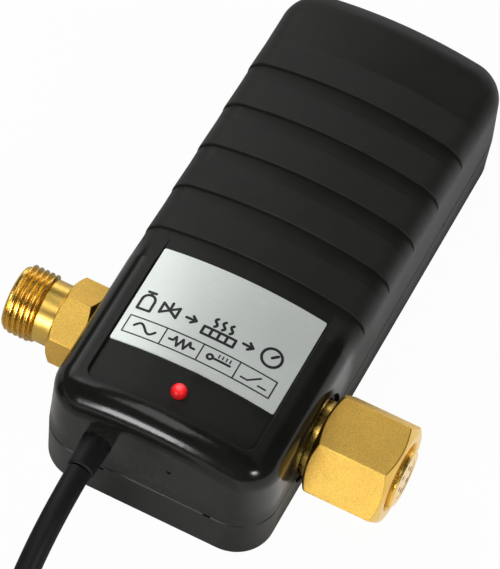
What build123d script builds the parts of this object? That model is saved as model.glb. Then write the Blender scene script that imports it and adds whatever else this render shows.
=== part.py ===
from build123d import *
import math
import os

# In-line electric gas heater for a carbon dioxide cylinder.
# A two-shell plastic housing carries an aluminium heat exchanger. Gas comes in through a brass union nut
# on +X and leaves through a male threaded fitting on -X. A mains lead leaves the front wall on -Y.
# Millimetres, +Z up, origin at the centre of the base, +Y towards the ribbed end of the housing.

# Housing
SEAM_Z = 15.9  # the parting plane
BASE_HALF_W = 36.2
BASE_HALF_L = 85.5
DRAFT_DEG = 1.7
CORNER_R = 12.6
WALL = 2.5
TOP_LOW_Z = 44.9  # the crowned roof under the rating plate, at x = 0
CROWN_R = 119.0
TOP_FILLET = 9.0
FLOOR_EDGE_R = 0.8
WALLS_TOP_Z = 70.0  # the walls are drawn this high before the roof cuts them
SEAM_CHAMFER = 0.4
SCREEN = 200.0  # longer than the housing in every direction
TONGUE_H = 2.0
TONGUE_T = 1.1
TONGUE_GAP = 0.4
FIT_GAP = 0.1
SEAM_HALF_W = BASE_HALF_W + SEAM_Z * math.tan(math.radians(DRAFT_DEG))
SEAM_HALF_L = BASE_HALF_L + SEAM_Z * math.tan(math.radians(DRAFT_DEG))

# Grip ribs and the sunk panel on the roof
RIB_FIRST_Y = -18.8
RIB_PITCH = 16.95
RIB_COUNT = 5
RIB_H = 1.2
RIB_RAMP = 11.5
CREST_R = 0.4
CREST_FACETS = 3
PANEL_HALF_W = 27.0
PANEL_FRONT_Y = -76.7
PANEL_CORNER_R = 4.0
PANEL_BREAK = 0.25  # the small chamfer round the panel's upper edge
BORDER_END_Y = -31.0
BORDER_RAMP = 9.5

# Small marks of the moulding: slots at the parting plane for a blade, and dimples in the front wall
PRY_SLOTS = [(19.6, -SEAM_HALF_L), (SEAM_HALF_W, 40.1)]
PRY_SLOT = (1.2, 0.8, 0.5)  # half its length, its depth, half its height
DIMPLES = [(6.2, 28.6), (-14.5, 14.3)]
DIMPLE_R = 0.7
DIMPLE_DEPTH = 0.4

# Gas line along X
GAS_Y = -47.4
GAS_Z = 17.5  # just over half the nut's width across its corners, so the nut clears the floor
GAS_BORE_R = 2.4
PORT_R = 8.0
PORT_DEPTH = 10.0
SEAL_R = 10.4
SEAL_T = 2.0

# Heat exchanger block
BLOCK_HALF_W = 30.0
BLOCK_FRONT_Y = -60.0
BLOCK_BACK_Y = 44.0
BLOCK_BOTTOM_Z = 4.0
BLOCK_TOP_Z = 26.0
CHANNEL_X = 14.0
CHANNEL_R = 3.0
CROSS_Y = 34.0
PLUG_R = 4.0
PLUG_T = 5.0
HEATER_R = 5.0
HEATER_L = 80.0
HEATER_PROUD = 2.0

# Inlet nipple and union nut on +X
SHANK_R = 12.0
SHANK_END_X = 38.0
NECK_R = 7.6
COLLAR_X = 61.1
TIP_X = 65.1
COLLAR_R = 9.2
STRAINER_R = 6.2
STRAINER_T = 1.2
STRAINER_HOLES = 6
STRAINER_HOLE_R = 0.8
STRAINER_RING_R = 3.9
NUT_AF = 30.0
NUT_BACK_X = 38.6
NUT_FRONT_X = 63.6
NUT_CHAMFER_X = 2.0
NUT_LIP_T = 5.0
NUT_THREAD_R = 9.74
NUT_TURN_DEG = 5.5
RING_T = 1.5
RING_GAP = 0.05
WASHER_R = 9.4

# Outlet fitting on -X
STEM_R = 10.4
OUT_HEX_AF = 24.0
OUT_HEX_NEAR_X = -37.4
OUT_HEX_FAR_X = -47.4
OUT_NECK_R = 9.9
OUT_THREAD_X = -52.9
OUT_THREAD_R = 10.9
OUT_END_X = -63.2
OUT_HEX_TURN_DEG = 33.0
WALL_HOLE_R_IN = 12.5
WALL_HOLE_R_OUT = 10.9
RECESS_R = 14.4
RECESS_X = 35.4

# Rating plate and pilot light
PLATE_L = 53.0
PLATE_W = 35.4
PLATE_Y = -43.55
PLATE_T = 0.5
LAMP_Y = -69.4
LAMP_R = 2.5
LAMP_BASE_Z = 36.6
LAMP_TOP_Z = 47.6
BOARD_HALF = (6.0, 4.5)
BOARD_POST_X = 4.6
BOARD_T = 1.6

# Mains lead
CORD_R = 3.7
EXIT_X = -17.0
EXIT_Z = 26.0
GROMMET_END_Y = -96.3
FRONT_WALL_Y = -85.7
SHEATH_END_Y = -65.0
CLAMP_Y = -69.0
CLAMP_HALF = 8.0
CLAMP_RISE = 4.5
CLAMP_SCREW_TOP = 38.0

COIL_X = -51.8
COIL_Y = -200.5
COIL_MEAN_R = 37.0
COIL_WIDE = 3
COIL_LAYERS = 2
COIL_OUTER_TURN_R = COIL_MEAN_R + CORD_R * (COIL_WIDE - 1)

# The lead's two stretches outside the coil, from the gland to the coil and from the coil to the plug
LEAD_POINTS = [
    (EXIT_X, GROMMET_END_Y, EXIT_Z),
    (-17.1, -113.0, 23.9),
    (-16.8, -133.5, 12.6),
    (-14.5, -151.0, 5.4),
    (-8.9, -168.5, 3.8),
    (COIL_X + COIL_OUTER_TURN_R, -182.5, CORD_R),
]
TAIL_POINTS = [
    (COIL_X - COIL_OUTER_TURN_R, -182.5, 3 * CORD_R),
    (-96.0, -168.5, 12.4),
    (-96.4, -154.5, 17.0),
    (COIL_X - COIL_OUTER_TURN_R, -141.5, 18.5),
]

# Plug on the end of the lead
PLUG_X = TAIL_POINTS[-1][0]
PLUG_Z = TAIL_POINTS[-1][2]
PLUG_TAIL_Y = TAIL_POINTS[-1][1]
PLUG_RELIEF_L = 22.0
PLUG_BODY_L = 37.0
PLUG_BODY_R = 18.5
PLUG_PIN_R = 2.4
PLUG_PIN_L = 19.0
PLUG_PIN_ROOT_R = 2.0
PLUG_PIN_ROOT_L = 8.0
PLUG_PIN_STAND_OFF = 0.4  # of the thinner root between the plug's face and the pin's full size
PLUG_PIN_TIP_R = 1.6
PLUG_PIN_X = 9.5
PLUG_FACE_Y = PLUG_TAIL_Y + PLUG_RELIEF_L + PLUG_BODY_L

# Fasteners
SHELL_SCREWS = [(-27.5, -76.0), (27.5, -76.0), (27.5, 76.0), (-27.5, 76.0)]
BLOCK_SCREWS = [(-23.0, -57.0), (23.0, 39.0)]
BOSS_R = 3.4
SCREW_R = 1.45
SCREW_HEAD_R = 2.8
SCREW_HEAD_T = 2.0
HEAD_SEAT_Z = 5.0
SHELL_SCREW_TOP = 25.0

# Controls on top of the block
EARTH_X = -12.0
STAT_Y = -18.0
STAT_R = 8.0
STAT_H = 7.0
STAT_SCREW_X = 12.0
FUSE_Y = 16.0
FUSE_R = 2.0
TERMINAL_X = 9.0
TERMINAL_Y = -74.5
TERMINAL_SIZE = (25.0, 11.0, 13.0)
TERMINAL_PITCH = 8.0
WIRE_R = 1.0
BEND_SHARE = 0.45  # of a route's shorter run, taken by each bend

ALONG_X = Rot(0, 90, 0)
ALONG_Y = Rot(-90, 0, 0)


def rod(axis, radius, start, end, at):
    """A cylinder along X, Y or Z from start to end, with its axis through the other two coordinates."""
    middle = (start + end) / 2
    a, b = at
    place, turn = {
        "x": (Pos(middle, a, b), ALONG_X),
        "y": (Pos(a, middle, b), ALONG_Y),
        "z": (Pos(a, b, middle), Rot()),
    }[axis]
    return place * turn * Cylinder(radius, end - start)


def block(low, high):
    """A box between two opposite corners."""
    size = [b - a for a, b in zip(low, high)]
    middle = [(a + b) / 2 for a, b in zip(low, high)]
    return Pos(*middle) * Box(*size)


def gas_rod(radius, start, end):
    return rod("x", radius, start, end, (GAS_Y, GAS_Z))


def turned(points):
    """A solid turned about the gas axis from (x, radius) corners, closed along the axis."""
    first, last = points[0][0], points[-1][0]
    outline = [(first, 0), *points, (last, 0)]
    profile = make_face(Polyline(*outline, close=True))
    return Pos(0, GAS_Y, GAS_Z) * revolve(profile, Axis.X)


def hexagon_bar(across_flats, start, end, turn_deg):
    """A hexagonal bar along the gas axis. At turn 0 one of its edges points towards -Y."""
    sketch = RegularPolygon(across_flats / 2, 6, major_radius=False, rotation=turn_deg)
    bar = extrude(sketch, end - start)
    return Pos(start, GAS_Y, GAS_Z) * Rot(0, 90, 0) * Rot(0, 0, 90) * bar


def outline(inset):
    """The housing's outline at the parting plane, moved inwards by inset."""
    return RectangleRounded(2 * (SEAM_HALF_W - inset), 2 * (SEAM_HALF_L - inset), CORNER_R - inset)


def crown(top_z):
    """Everything under the crowned roof whose ridge is at top_z."""
    return Pos(0, 0, top_z - CROWN_R) * ALONG_Y * Cylinder(CROWN_R, 2 * SCREEN)


def dome(inset, top_z, taper, edge_r):
    """The closed, rounded shape above the parting plane, outer or inner."""
    walls = Pos(0, 0, SEAM_Z) * extrude(outline(inset), WALLS_TOP_Z - SEAM_Z, taper=taper)
    shape = walls & crown(top_z)
    return fillet(shape.faces().sort_by(Axis.Z)[-1].edges(), edge_r)


def half_width(z):
    """Half the housing's width at a height above the parting plane."""
    return SEAM_HALF_W - (z - SEAM_Z) * math.tan(math.radians(DRAFT_DEG))


def roof_section(y, rise):
    """The housing's solid cross-section above the parting plane, with the roof raised by rise."""
    low, high = half_width(SEAM_Z), half_width(WALLS_TOP_Z)
    corners = [(-low, SEAM_Z), (low, SEAM_Z), (high, WALLS_TOP_Z), (-high, WALLS_TOP_Z)]
    arch = Pos(0, TOP_LOW_Z + rise - CROWN_R) * Circle(CROWN_R)
    face = make_face(Polyline(*corners, close=True)) & arch
    face = fillet(face.vertices().group_by(Axis.Y)[-1], TOP_FILLET)
    return Plane(origin=(0, y, 0), x_dir=(1, 0, 0), z_dir=(0, -1, 0)) * face


def band(y_low, y_high, rise_low, rise_high):
    """A length of the housing whose roof is raised by one amount at its start and another at its end."""
    return loft([roof_section(y_low, rise_low), roof_section(y_high, rise_high)], ruled=True)


def rib(step, end):
    """The lengths of one grip rib: a rounded crest over its upright side, then a straight run-out."""
    turns = [math.radians(90 * n / CREST_FACETS) for n in range(CREST_FACETS + 1)]
    stations = [(step + CREST_R * (1 - math.cos(t)), RIB_H - CREST_R * (1 - math.sin(t))) for t in turns]
    stations.append((end, 0))
    return [band(a[0], b[0], a[1], b[1]) for a, b in zip(stations, stations[1:])]


def length_of(shape, y_low, y_high):
    return shape & block((-SCREEN, y_low, 0), (SCREEN, y_high, SCREEN))


def ribbed_body():
    """The closed shape above the parting plane: a raised border in front, then the grip ribs.

    Each rib stands straight up on its -Y side and runs out towards +Y. The lengths meet face to face.
    """
    high = dome(0, TOP_LOW_Z + RIB_H, DRAFT_DEG, TOP_FILLET)
    low = dome(0, TOP_LOW_Z, DRAFT_DEG, TOP_FILLET)
    border_end = BORDER_END_Y + BORDER_RAMP
    lengths = [length_of(high, -SCREEN, BORDER_END_Y), band(BORDER_END_Y, border_end, RIB_H, 0)]
    reached = border_end
    for n in range(RIB_COUNT):
        step = RIB_FIRST_Y + n * RIB_PITCH
        lengths.append(band(reached, step, 0, 0))
        reached = step + RIB_RAMP
        lengths += rib(step, reached)
    lengths.append(length_of(low, reached, SCREEN))
    return lengths[0].fuse(*lengths[1:]).clean()


def panel_cutter():
    """What the raised border loses above the rating plate's sunk panel."""
    end = BORDER_END_Y + BORDER_RAMP
    length = end - PANEL_FRONT_Y + 2 * PANEL_CORNER_R
    panel = Pos(0, PANEL_FRONT_Y + length / 2) * RectangleRounded(2 * PANEL_HALF_W, length, PANEL_CORNER_R)
    column = length_of(extrude(panel, WALLS_TOP_Z), -SCREEN, end)
    return column - crown(TOP_LOW_Z)


def break_panel(shell):
    """Chamfers the edge where the raised border drops to the sunk panel in front and along both sides."""
    reach = PANEL_HALF_W + 0.01

    def on_edge(edge):
        p = edge.position_at(0.5)
        over = p.Z - (TOP_LOW_Z - CROWN_R + math.sqrt(CROWN_R**2 - p.X**2))
        inside = abs(p.X) < reach and PANEL_FRONT_Y - 0.01 < p.Y < BORDER_END_Y
        return inside and abs(over - RIB_H) < 0.1 and edge.length > 1

    return chamfer([e for e in shell.edges() if on_edge(e)], PANEL_BREAK)


def moulding_marks():
    """The blade slots across the parting plane and the dimples in the front wall."""
    half, depth, half_h = PRY_SLOT
    (front_x, front_y), (side_x, side_y) = PRY_SLOTS
    marks = block((front_x - half, front_y - 1, SEAM_Z - half_h), (front_x + half, front_y + depth, SEAM_Z + half_h))
    marks += block((side_x - depth, side_y - half, SEAM_Z - half_h), (side_x + 1, side_y + half, SEAM_Z + half_h))
    for x, z in DIMPLES:
        wall_y = -(BASE_HALF_L + min(z, 2 * SEAM_Z - z) * math.tan(math.radians(DRAFT_DEG)))
        marks += rod("y", DIMPLE_R, wall_y - 1, wall_y + DIMPLE_DEPTH, (x, z))
    return marks


def wall_openings():
    """What both shells lose for the two brass pieces that leave through the parting plane."""
    inlet = gas_rod(WALL_HOLE_R_IN, 20, 60)
    recess = gas_rod(RECESS_R, RECESS_X, 60)
    outlet = gas_rod(WALL_HOLE_R_OUT, -60, -20)
    return inlet + recess + outlet


def on_rim(edge):
    """True for an edge whose middle lies on the housing's outline at the parting plane."""
    p = edge.position_at(0.5)
    dx = abs(p.X) - (SEAM_HALF_W - CORNER_R)
    dy = abs(p.Y) - (SEAM_HALF_L - CORNER_R)
    reach = math.hypot(max(dx, 0), max(dy, 0))
    return abs(reach - CORNER_R) < 0.05 and abs(p.Z - SEAM_Z) < 0.01


def break_rim(shell):
    """Chamfers the outer edge at the parting plane, which makes the fine groove round the housing."""
    return chamfer([e for e in shell.edges() if on_rim(e)], SEAM_CHAMFER)


def upper_shell():
    shell = break_panel(ribbed_body() - panel_cutter())
    shell -= dome(WALL, TOP_LOW_Z - WALL, 0, TOP_FILLET - WALL)
    rim = extrude(outline(TONGUE_T), TONGUE_H + FIT_GAP)
    shell -= Pos(0, 0, SEAM_Z) * rim
    room = dome(WALL / 2, TOP_LOW_Z - WALL / 2, 0, TOP_FILLET - WALL / 2)
    for x, y in SHELL_SCREWS:
        shell += rod("z", BOSS_R, SEAM_Z + FIT_GAP, TOP_LOW_Z, (x, y)) & room
        shell -= rod("z", SCREW_R + FIT_GAP / 2, SEAM_Z, SHELL_SCREW_TOP + 1, (x, y))
    for side in (-1, 1):
        at = (EXIT_X + side * CLAMP_HALF, CLAMP_Y)
        shell += rod("z", 2.6, EXIT_Z + CLAMP_RISE, TOP_LOW_Z, at) & room
        shell -= rod("z", 1.0, EXIT_Z, CLAMP_SCREW_TOP + 1, at)
        shell += rod("z", 1.2, LAMP_BASE_Z, TOP_LOW_Z, (side * BOARD_POST_X, LAMP_Y)) & room
    shell -= rod("z", LAMP_R + FIT_GAP, 30, 60, (0, LAMP_Y))
    shell -= rod("y", 4.7, -100, -75, (EXIT_X, EXIT_Z))
    shell -= wall_openings()
    return break_rim(shell) - moulding_marks()


def lower_shell():
    down = Plane(origin=(0, 0, SEAM_Z), x_dir=(1, 0, 0), z_dir=(0, 0, -1))
    shell = extrude(down * outline(0), SEAM_Z, taper=DRAFT_DEG)
    shell = fillet(shell.faces().sort_by(Axis.Z)[0].edges(), FLOOR_EDGE_R)
    shell -= Pos(0, 0, WALL) * extrude(outline(WALL + TONGUE_GAP), SEAM_Z)
    tongue = extrude(outline(TONGUE_T + FIT_GAP), TONGUE_H) - extrude(outline(WALL + TONGUE_GAP), TONGUE_H)
    shell += Pos(0, 0, SEAM_Z) * tongue
    for x, y in SHELL_SCREWS:
        shell += rod("z", BOSS_R, 1, SEAM_Z, (x, y))
    pads = [(-23, -57), (23, -57), (23, 39), (-23, 39)]
    for x, y in pads:
        shell += block((x - 4, y - 4, 1), (x + 4, y + 4, BLOCK_BOTTOM_Z))
    for x, y in SHELL_SCREWS:
        shell -= rod("z", SCREW_R + 0.25, -1, SEAM_Z + 5, (x, y))
        shell -= rod("z", SCREW_HEAD_R + 0.3, -1, HEAD_SEAT_Z, (x, y))
    for x, y in BLOCK_SCREWS:
        shell -= rod("z", 2.2, -1, BLOCK_BOTTOM_Z + 1, (x, y))
        shell -= rod("z", 3.8, -1, 2.4, (x, y))
    shell -= wall_openings()
    return break_rim(shell) - moulding_marks()


def shell_screw(x, y):
    head = rod("z", SCREW_HEAD_R, HEAD_SEAT_Z - SCREW_HEAD_T, HEAD_SEAT_Z, (x, y))
    shank = rod("z", SCREW_R, HEAD_SEAT_Z, SHELL_SCREW_TOP, (x, y))
    socket = Pos(x, y, HEAD_SEAT_Z - SCREW_HEAD_T) * extrude(RegularPolygon(1.2, 6), 1.2)
    return head + shank - socket


def block_screw(x, y):
    head = rod("z", 3.5, 0.4, 2.4, (x, y))
    shank = rod("z", 1.95, 2.4, 10, (x, y))
    socket = Pos(x, y, 0.4) * extrude(RegularPolygon(1.5, 6), 1.2)
    return head + shank - socket


def rating_plate():
    slab = block((-PLATE_L / 2, PLATE_Y - PLATE_W / 2, 30), (PLATE_L / 2, PLATE_Y + PLATE_W / 2, 60))
    slab = fillet(slab.edges().filter_by(Axis.Z), 0.6)
    skin = crown(TOP_LOW_Z + PLATE_T) - crown(TOP_LOW_Z)
    return slab & skin


def pilot_lens():
    body = rod("z", LAMP_R, LAMP_BASE_Z, LAMP_TOP_Z - LAMP_R, (0, LAMP_Y))
    tip = Pos(0, LAMP_Y, LAMP_TOP_Z - LAMP_R) * Sphere(LAMP_R)
    flange = rod("z", LAMP_R + 0.4, LAMP_BASE_Z, LAMP_BASE_Z + 1, (0, LAMP_Y))
    return body + tip + flange


def lamp_board():
    hx, hy = BOARD_HALF
    return block((-hx, LAMP_Y - hy, LAMP_BASE_Z - BOARD_T), (hx, LAMP_Y + hy, LAMP_BASE_Z))


def series_resistor():
    top = LAMP_BASE_Z - BOARD_T
    return rod("x", 1.4, -4, 4, (LAMP_Y, top - 1.4))


def cord_grommet():
    inner_face = -(SEAM_HALF_L - WALL)
    flange = rod("y", 6.0, inner_face, inner_face + 2.5, (EXIT_X, EXIT_Z))
    waist = rod("y", 4.6, FRONT_WALL_Y, inner_face, (EXIT_X, EXIT_Z))
    length = FRONT_WALL_Y - GROMMET_END_Y
    sleeve = Pos(EXIT_X, FRONT_WALL_Y - length / 2, EXIT_Z) * Rot(90, 0, 0) * Cone(4.6, 4.1, length)
    return flange + waist + sleeve


def inner_sheath():
    start = -(SEAM_HALF_L - WALL) + 2.5
    return rod("y", CORD_R, start, SHEATH_END_Y, (EXIT_X, EXIT_Z))


def clamp_bar():
    """The saddle that holds the lead's sheath up against its two posts."""
    top = EXIT_Z + CLAMP_RISE
    bar = block((EXIT_X - 11, CLAMP_Y - 2.5, EXIT_Z - 6), (EXIT_X + 11, CLAMP_Y + 2.5, top))
    bar -= rod("y", CORD_R, CLAMP_Y - 4, CLAMP_Y + 4, (EXIT_X, EXIT_Z))
    bar -= block((EXIT_X - CORD_R, CLAMP_Y - 4, EXIT_Z), (EXIT_X + CORD_R, CLAMP_Y + 4, top + 1))
    for side in (-1, 1):
        bar -= rod("z", 1.2, EXIT_Z - 7, top + 1, (EXIT_X + side * CLAMP_HALF, CLAMP_Y))
    return bar


def clamp_screw(side):
    at = (EXIT_X + side * CLAMP_HALF, CLAMP_Y)
    head = rod("z", 2.4, EXIT_Z - 7.6, EXIT_Z - 6, at)
    shank = rod("z", 0.95, EXIT_Z - 6, CLAMP_SCREW_TOP, at)
    return head + shank


def heater_block():
    body = block((-BLOCK_HALF_W, BLOCK_FRONT_Y, BLOCK_BOTTOM_Z), (BLOCK_HALF_W, BLOCK_BACK_Y, BLOCK_TOP_Z))
    body = chamfer(body.edges().filter_by(Axis.Z), 2)
    for side in (-1, 1):
        port = sorted((side * (BLOCK_HALF_W - PORT_DEPTH), side * (BLOCK_HALF_W + 1)))
        seat = sorted((side * (BLOCK_HALF_W - SEAL_T), side * (BLOCK_HALF_W + 1)))
        feed = sorted((side * (CHANNEL_X - CHANNEL_R), side * BLOCK_HALF_W))
        body -= gas_rod(PORT_R, *port)
        body -= gas_rod(SEAL_R + FIT_GAP, *seat)
        body -= gas_rod(CHANNEL_R, *feed)
        body -= rod("y", CHANNEL_R, GAS_Y, BLOCK_BACK_Y, (side * CHANNEL_X, GAS_Z))
        body -= rod("y", PLUG_R, BLOCK_BACK_Y - PLUG_T, BLOCK_BACK_Y + 1, (side * CHANNEL_X, GAS_Z))
    body -= rod("x", CHANNEL_R, -CHANNEL_X, BLOCK_HALF_W, (CROSS_Y, GAS_Z))
    body -= rod("x", PLUG_R, BLOCK_HALF_W - PLUG_T, BLOCK_HALF_W + 1, (CROSS_Y, GAS_Z))
    body -= rod("y", HEATER_R, BLOCK_FRONT_Y - 1, BLOCK_FRONT_Y + HEATER_L, (0, GAS_Z))
    for x, y in BLOCK_SCREWS:
        body -= rod("z", 2, 0, 11, (x, y))
    for side in (-1, 1):
        body -= rod("z", 1.5, BLOCK_TOP_Z - 6, BLOCK_TOP_Z + 1, (side * STAT_SCREW_X, STAT_Y))
    body -= rod("z", 1.5, BLOCK_TOP_Z - 6, BLOCK_TOP_Z + 1, (10, FUSE_Y))
    body -= rod("z", 1.5, BLOCK_TOP_Z - 6, BLOCK_TOP_Z + 1, (EARTH_X, BLOCK_FRONT_Y + 8))
    return body


def channel_plugs():
    ends = (BLOCK_BACK_Y - PLUG_T, BLOCK_BACK_Y)
    plugs = [rod("y", PLUG_R - 0.02, *ends, (side * CHANNEL_X, GAS_Z)) for side in (-1, 1)]
    plugs.append(rod("x", PLUG_R - 0.02, BLOCK_HALF_W - PLUG_T, BLOCK_HALF_W, (CROSS_Y, GAS_Z)))
    return plugs


def cartridge_heater():
    front = BLOCK_FRONT_Y - HEATER_PROUD
    return rod("y", HEATER_R - 0.05, front, front + HEATER_L, (0, GAS_Z))


def port_seal(side):
    span = sorted((side * (BLOCK_HALF_W - SEAL_T), side * BLOCK_HALF_W))
    return gas_rod(SEAL_R, *span) - gas_rod(PORT_R + FIT_GAP, *span)


def inlet_nipple():
    root = BLOCK_HALF_W - PORT_DEPTH + 0.5
    shape = turned(
        [
            (root, PORT_R - 0.02),
            (BLOCK_HALF_W, PORT_R - 0.02),
            (BLOCK_HALF_W, SHANK_R),
            (SHANK_END_X, SHANK_R),
            (SHANK_END_X, NECK_R),
            (COLLAR_X, NECK_R),
            (COLLAR_X, COLLAR_R),
            (TIP_X - 0.6, COLLAR_R),
            (TIP_X, COLLAR_R - 0.6),
        ]
    )
    shape -= gas_rod(GAS_BORE_R, root - 1, TIP_X + 1)
    shape -= gas_rod(STRAINER_R, TIP_X - STRAINER_T, TIP_X + 1)
    return shape


def strainer_disc():
    disc = gas_rod(STRAINER_R - 0.03, TIP_X - STRAINER_T, TIP_X - 0.1)
    for n in range(STRAINER_HOLES):
        angle = 2 * math.pi * n / STRAINER_HOLES
        y = GAS_Y + STRAINER_RING_R * math.cos(angle)
        z = GAS_Z + STRAINER_RING_R * math.sin(angle)
        disc -= rod("x", STRAINER_HOLE_R, TIP_X - 3, TIP_X + 1, (y, z))
    return disc


def thrust_ring():
    """The slip ring that the nut's lip pushes against the nipple's collar."""
    start = NUT_BACK_X + NUT_LIP_T + RING_GAP
    return gas_rod(WASHER_R, start, start + RING_T) - gas_rod(NECK_R + 0.05, start, start + RING_T)


def union_nut():
    nut = hexagon_bar(NUT_AF, NUT_BACK_X, NUT_FRONT_X, NUT_TURN_DEG)
    corner_r = NUT_AF / math.sqrt(3)
    rim_r = NUT_AF / 2 - 0.6
    nut &= turned(
        [
            (NUT_BACK_X, rim_r),
            (NUT_BACK_X + NUT_CHAMFER_X, corner_r + 0.2),
            (NUT_FRONT_X - NUT_CHAMFER_X, corner_r + 0.2),
            (NUT_FRONT_X, rim_r - 0.4),
        ]
    )
    nut -= gas_rod(NECK_R + 0.3, NUT_BACK_X - 1, NUT_FRONT_X)
    nut -= gas_rod(NUT_THREAD_R, NUT_BACK_X + NUT_LIP_T, NUT_FRONT_X + 1)
    mouth = Pos(NUT_FRONT_X - 0.6, GAS_Y, GAS_Z) * ALONG_X * Cone(NUT_THREAD_R, NUT_THREAD_R + 1.2, 1.2)
    return nut - mouth


def outlet_fitting():
    corner_r = OUT_HEX_AF / math.sqrt(3)
    rim_r = OUT_HEX_AF / 2 - 0.3
    root = -(BLOCK_HALF_W - PORT_DEPTH + 0.5)
    shape = turned(
        [
            (root, PORT_R - 0.02),
            (-BLOCK_HALF_W, PORT_R - 0.02),
            (-BLOCK_HALF_W, STEM_R),
            (OUT_HEX_NEAR_X + 1, STEM_R),
            (OUT_HEX_NEAR_X + 1, OUT_NECK_R),
            (OUT_THREAD_X, OUT_NECK_R),
            (OUT_THREAD_X, OUT_THREAD_R),
            (OUT_END_X + 1, OUT_THREAD_R),
            (OUT_END_X, OUT_THREAD_R - 1),
        ]
    )
    grip = hexagon_bar(OUT_HEX_AF, OUT_HEX_FAR_X, OUT_HEX_NEAR_X, OUT_HEX_TURN_DEG)
    grip &= turned(
        [
            (OUT_HEX_FAR_X, rim_r),
            (OUT_HEX_FAR_X + 1.3, corner_r + 0.1),
            (OUT_HEX_NEAR_X - 1.3, corner_r + 0.1),
            (OUT_HEX_NEAR_X, rim_r),
        ]
    )
    shape += grip
    shape += gas_rod(STEM_R, OUT_HEX_NEAR_X - 0.5, -BLOCK_HALF_W)
    shape -= gas_rod(GAS_BORE_R, OUT_END_X - 1, root + 1)
    seat = Pos(OUT_END_X + 1.5, GAS_Y, GAS_Z) * ALONG_X * Cone(6.0, GAS_BORE_R, 3.0)
    return shape - seat


def thermostat():
    can = rod("z", STAT_R, BLOCK_TOP_Z + 1, BLOCK_TOP_Z + 1 + STAT_H, (0, STAT_Y))
    flange = block((-16, STAT_Y - 4, BLOCK_TOP_Z), (16, STAT_Y + 4, BLOCK_TOP_Z + 1))
    for side in (-1, 1):
        flange -= rod("z", 1.6, BLOCK_TOP_Z - 1, BLOCK_TOP_Z + 2, (side * STAT_SCREW_X, STAT_Y))
    tabs = block((-1.5, STAT_Y - 12, BLOCK_TOP_Z + 5.5), (1.5, STAT_Y + 12, BLOCK_TOP_Z + 6.3))
    return can + flange + tabs


def small_screw(x, y, seat_z):
    head = rod("z", 2.6, seat_z, seat_z + 1.8, (x, y))
    shank = rod("z", 1.48, BLOCK_TOP_Z - 5, seat_z, (x, y))
    slot = block((x - 3, y - 0.3, seat_z + 1.0), (x + 3, y + 0.3, seat_z + 2))
    return head + shank - slot


def thermal_fuse():
    return rod("x", FUSE_R, -10, 4, (FUSE_Y, BLOCK_TOP_Z + 1 + FUSE_R))


def fuse_clip():
    """A strip under the fuse, with one ear up at each end of its barrel."""
    strip = block((-11.5, FUSE_Y - 3, BLOCK_TOP_Z), (14, FUSE_Y + 3, BLOCK_TOP_Z + 1))
    strip -= rod("z", 1.6, BLOCK_TOP_Z - 1, BLOCK_TOP_Z + 2, (10, FUSE_Y))
    ears = [block((x, FUSE_Y - 3, BLOCK_TOP_Z), (x + 1, FUSE_Y + 3, BLOCK_TOP_Z + 6)) for x in (-11.5, 4.5)]
    return strip + ears[0] + ears[1]


def terminal_block():
    lx, ly, lz = TERMINAL_SIZE
    low = (TERMINAL_X - lx / 2, TERMINAL_Y - ly / 2, WALL)
    high = (TERMINAL_X + lx / 2, TERMINAL_Y + ly / 2, WALL + lz)
    body = fillet(block(low, high).edges().filter_by(Axis.X), 1.0)
    for n in (-1, 0, 1):
        at = TERMINAL_X + n * TERMINAL_PITCH
        body -= rod("z", 2.2, WALL + lz - 5, WALL + lz + 1, (at, TERMINAL_Y))
        body -= rod("y", 1.6, TERMINAL_Y - ly, TERMINAL_Y + ly, (at, WALL + 5))
    return body


def terminal_screw(n):
    at = (TERMINAL_X + n * TERMINAL_PITCH, TERMINAL_Y)
    top = WALL + TERMINAL_SIZE[2]
    body = rod("z", 2.1, top - 5, top - 1, at)
    slot = block((at[0] - 3, at[1] - 0.3, top - 2), (at[0] + 3, at[1] + 0.3, top))
    return body - slot


def earth_lug():
    x, y = EARTH_X, BLOCK_FRONT_Y + 8
    ring = rod("z", 3.2, BLOCK_TOP_Z, BLOCK_TOP_Z + 0.8, (x, y))
    tail = block((x - 1.5, y - 6, BLOCK_TOP_Z), (x + 1.5, y, BLOCK_TOP_Z + 0.8))
    return ring + tail - rod("z", 1.6, BLOCK_TOP_Z - 1, BLOCK_TOP_Z + 2, (x, y))


def insulation_pad():
    """A mica sheet that keeps the block's heat off the ribbed roof."""
    return block((-24, 22, BLOCK_TOP_Z), (24, 43, BLOCK_TOP_Z + 1.5))


def turn_angle(a, b, c):
    """How far the route turns at b, in radians."""
    first = (Vector(*b) - Vector(*a)).normalized()
    second = (Vector(*c) - Vector(*b)).normalized()
    return math.acos(max(-1.0, min(1.0, first.dot(second))))


def route(points):
    """Straight runs joined by tangent arcs, each as wide as its two runs allow, and the arcs' radii."""
    runs = [(Vector(*b) - Vector(*a)).length for a, b in zip(points, points[1:])]
    start = Vector(*points[0])
    edges = []
    radii = []
    for i in range(1, len(points) - 1):
        reach = BEND_SHARE * min(runs[i - 1], runs[i])
        radii.append(reach / math.tan(turn_angle(*points[i - 1 : i + 2]) / 2))
        corner = Vector(*points[i])
        enter = corner + (Vector(*points[i - 1]) - corner).normalized() * reach
        leave = corner + (Vector(*points[i + 1]) - corner).normalized() * reach
        edges.append(Edge.make_line(start, enter))
        edges.append(Edge.make_tangent_arc(enter, corner - enter, leave))
        start = leave
    edges.append(Edge.make_line(start, Vector(*points[-1])))
    return Wire(edges), radii


def wire(points, radius=WIRE_R):
    path, _ = route(points)
    return sweep((path ^ 0) * Circle(radius), path=path)


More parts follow.
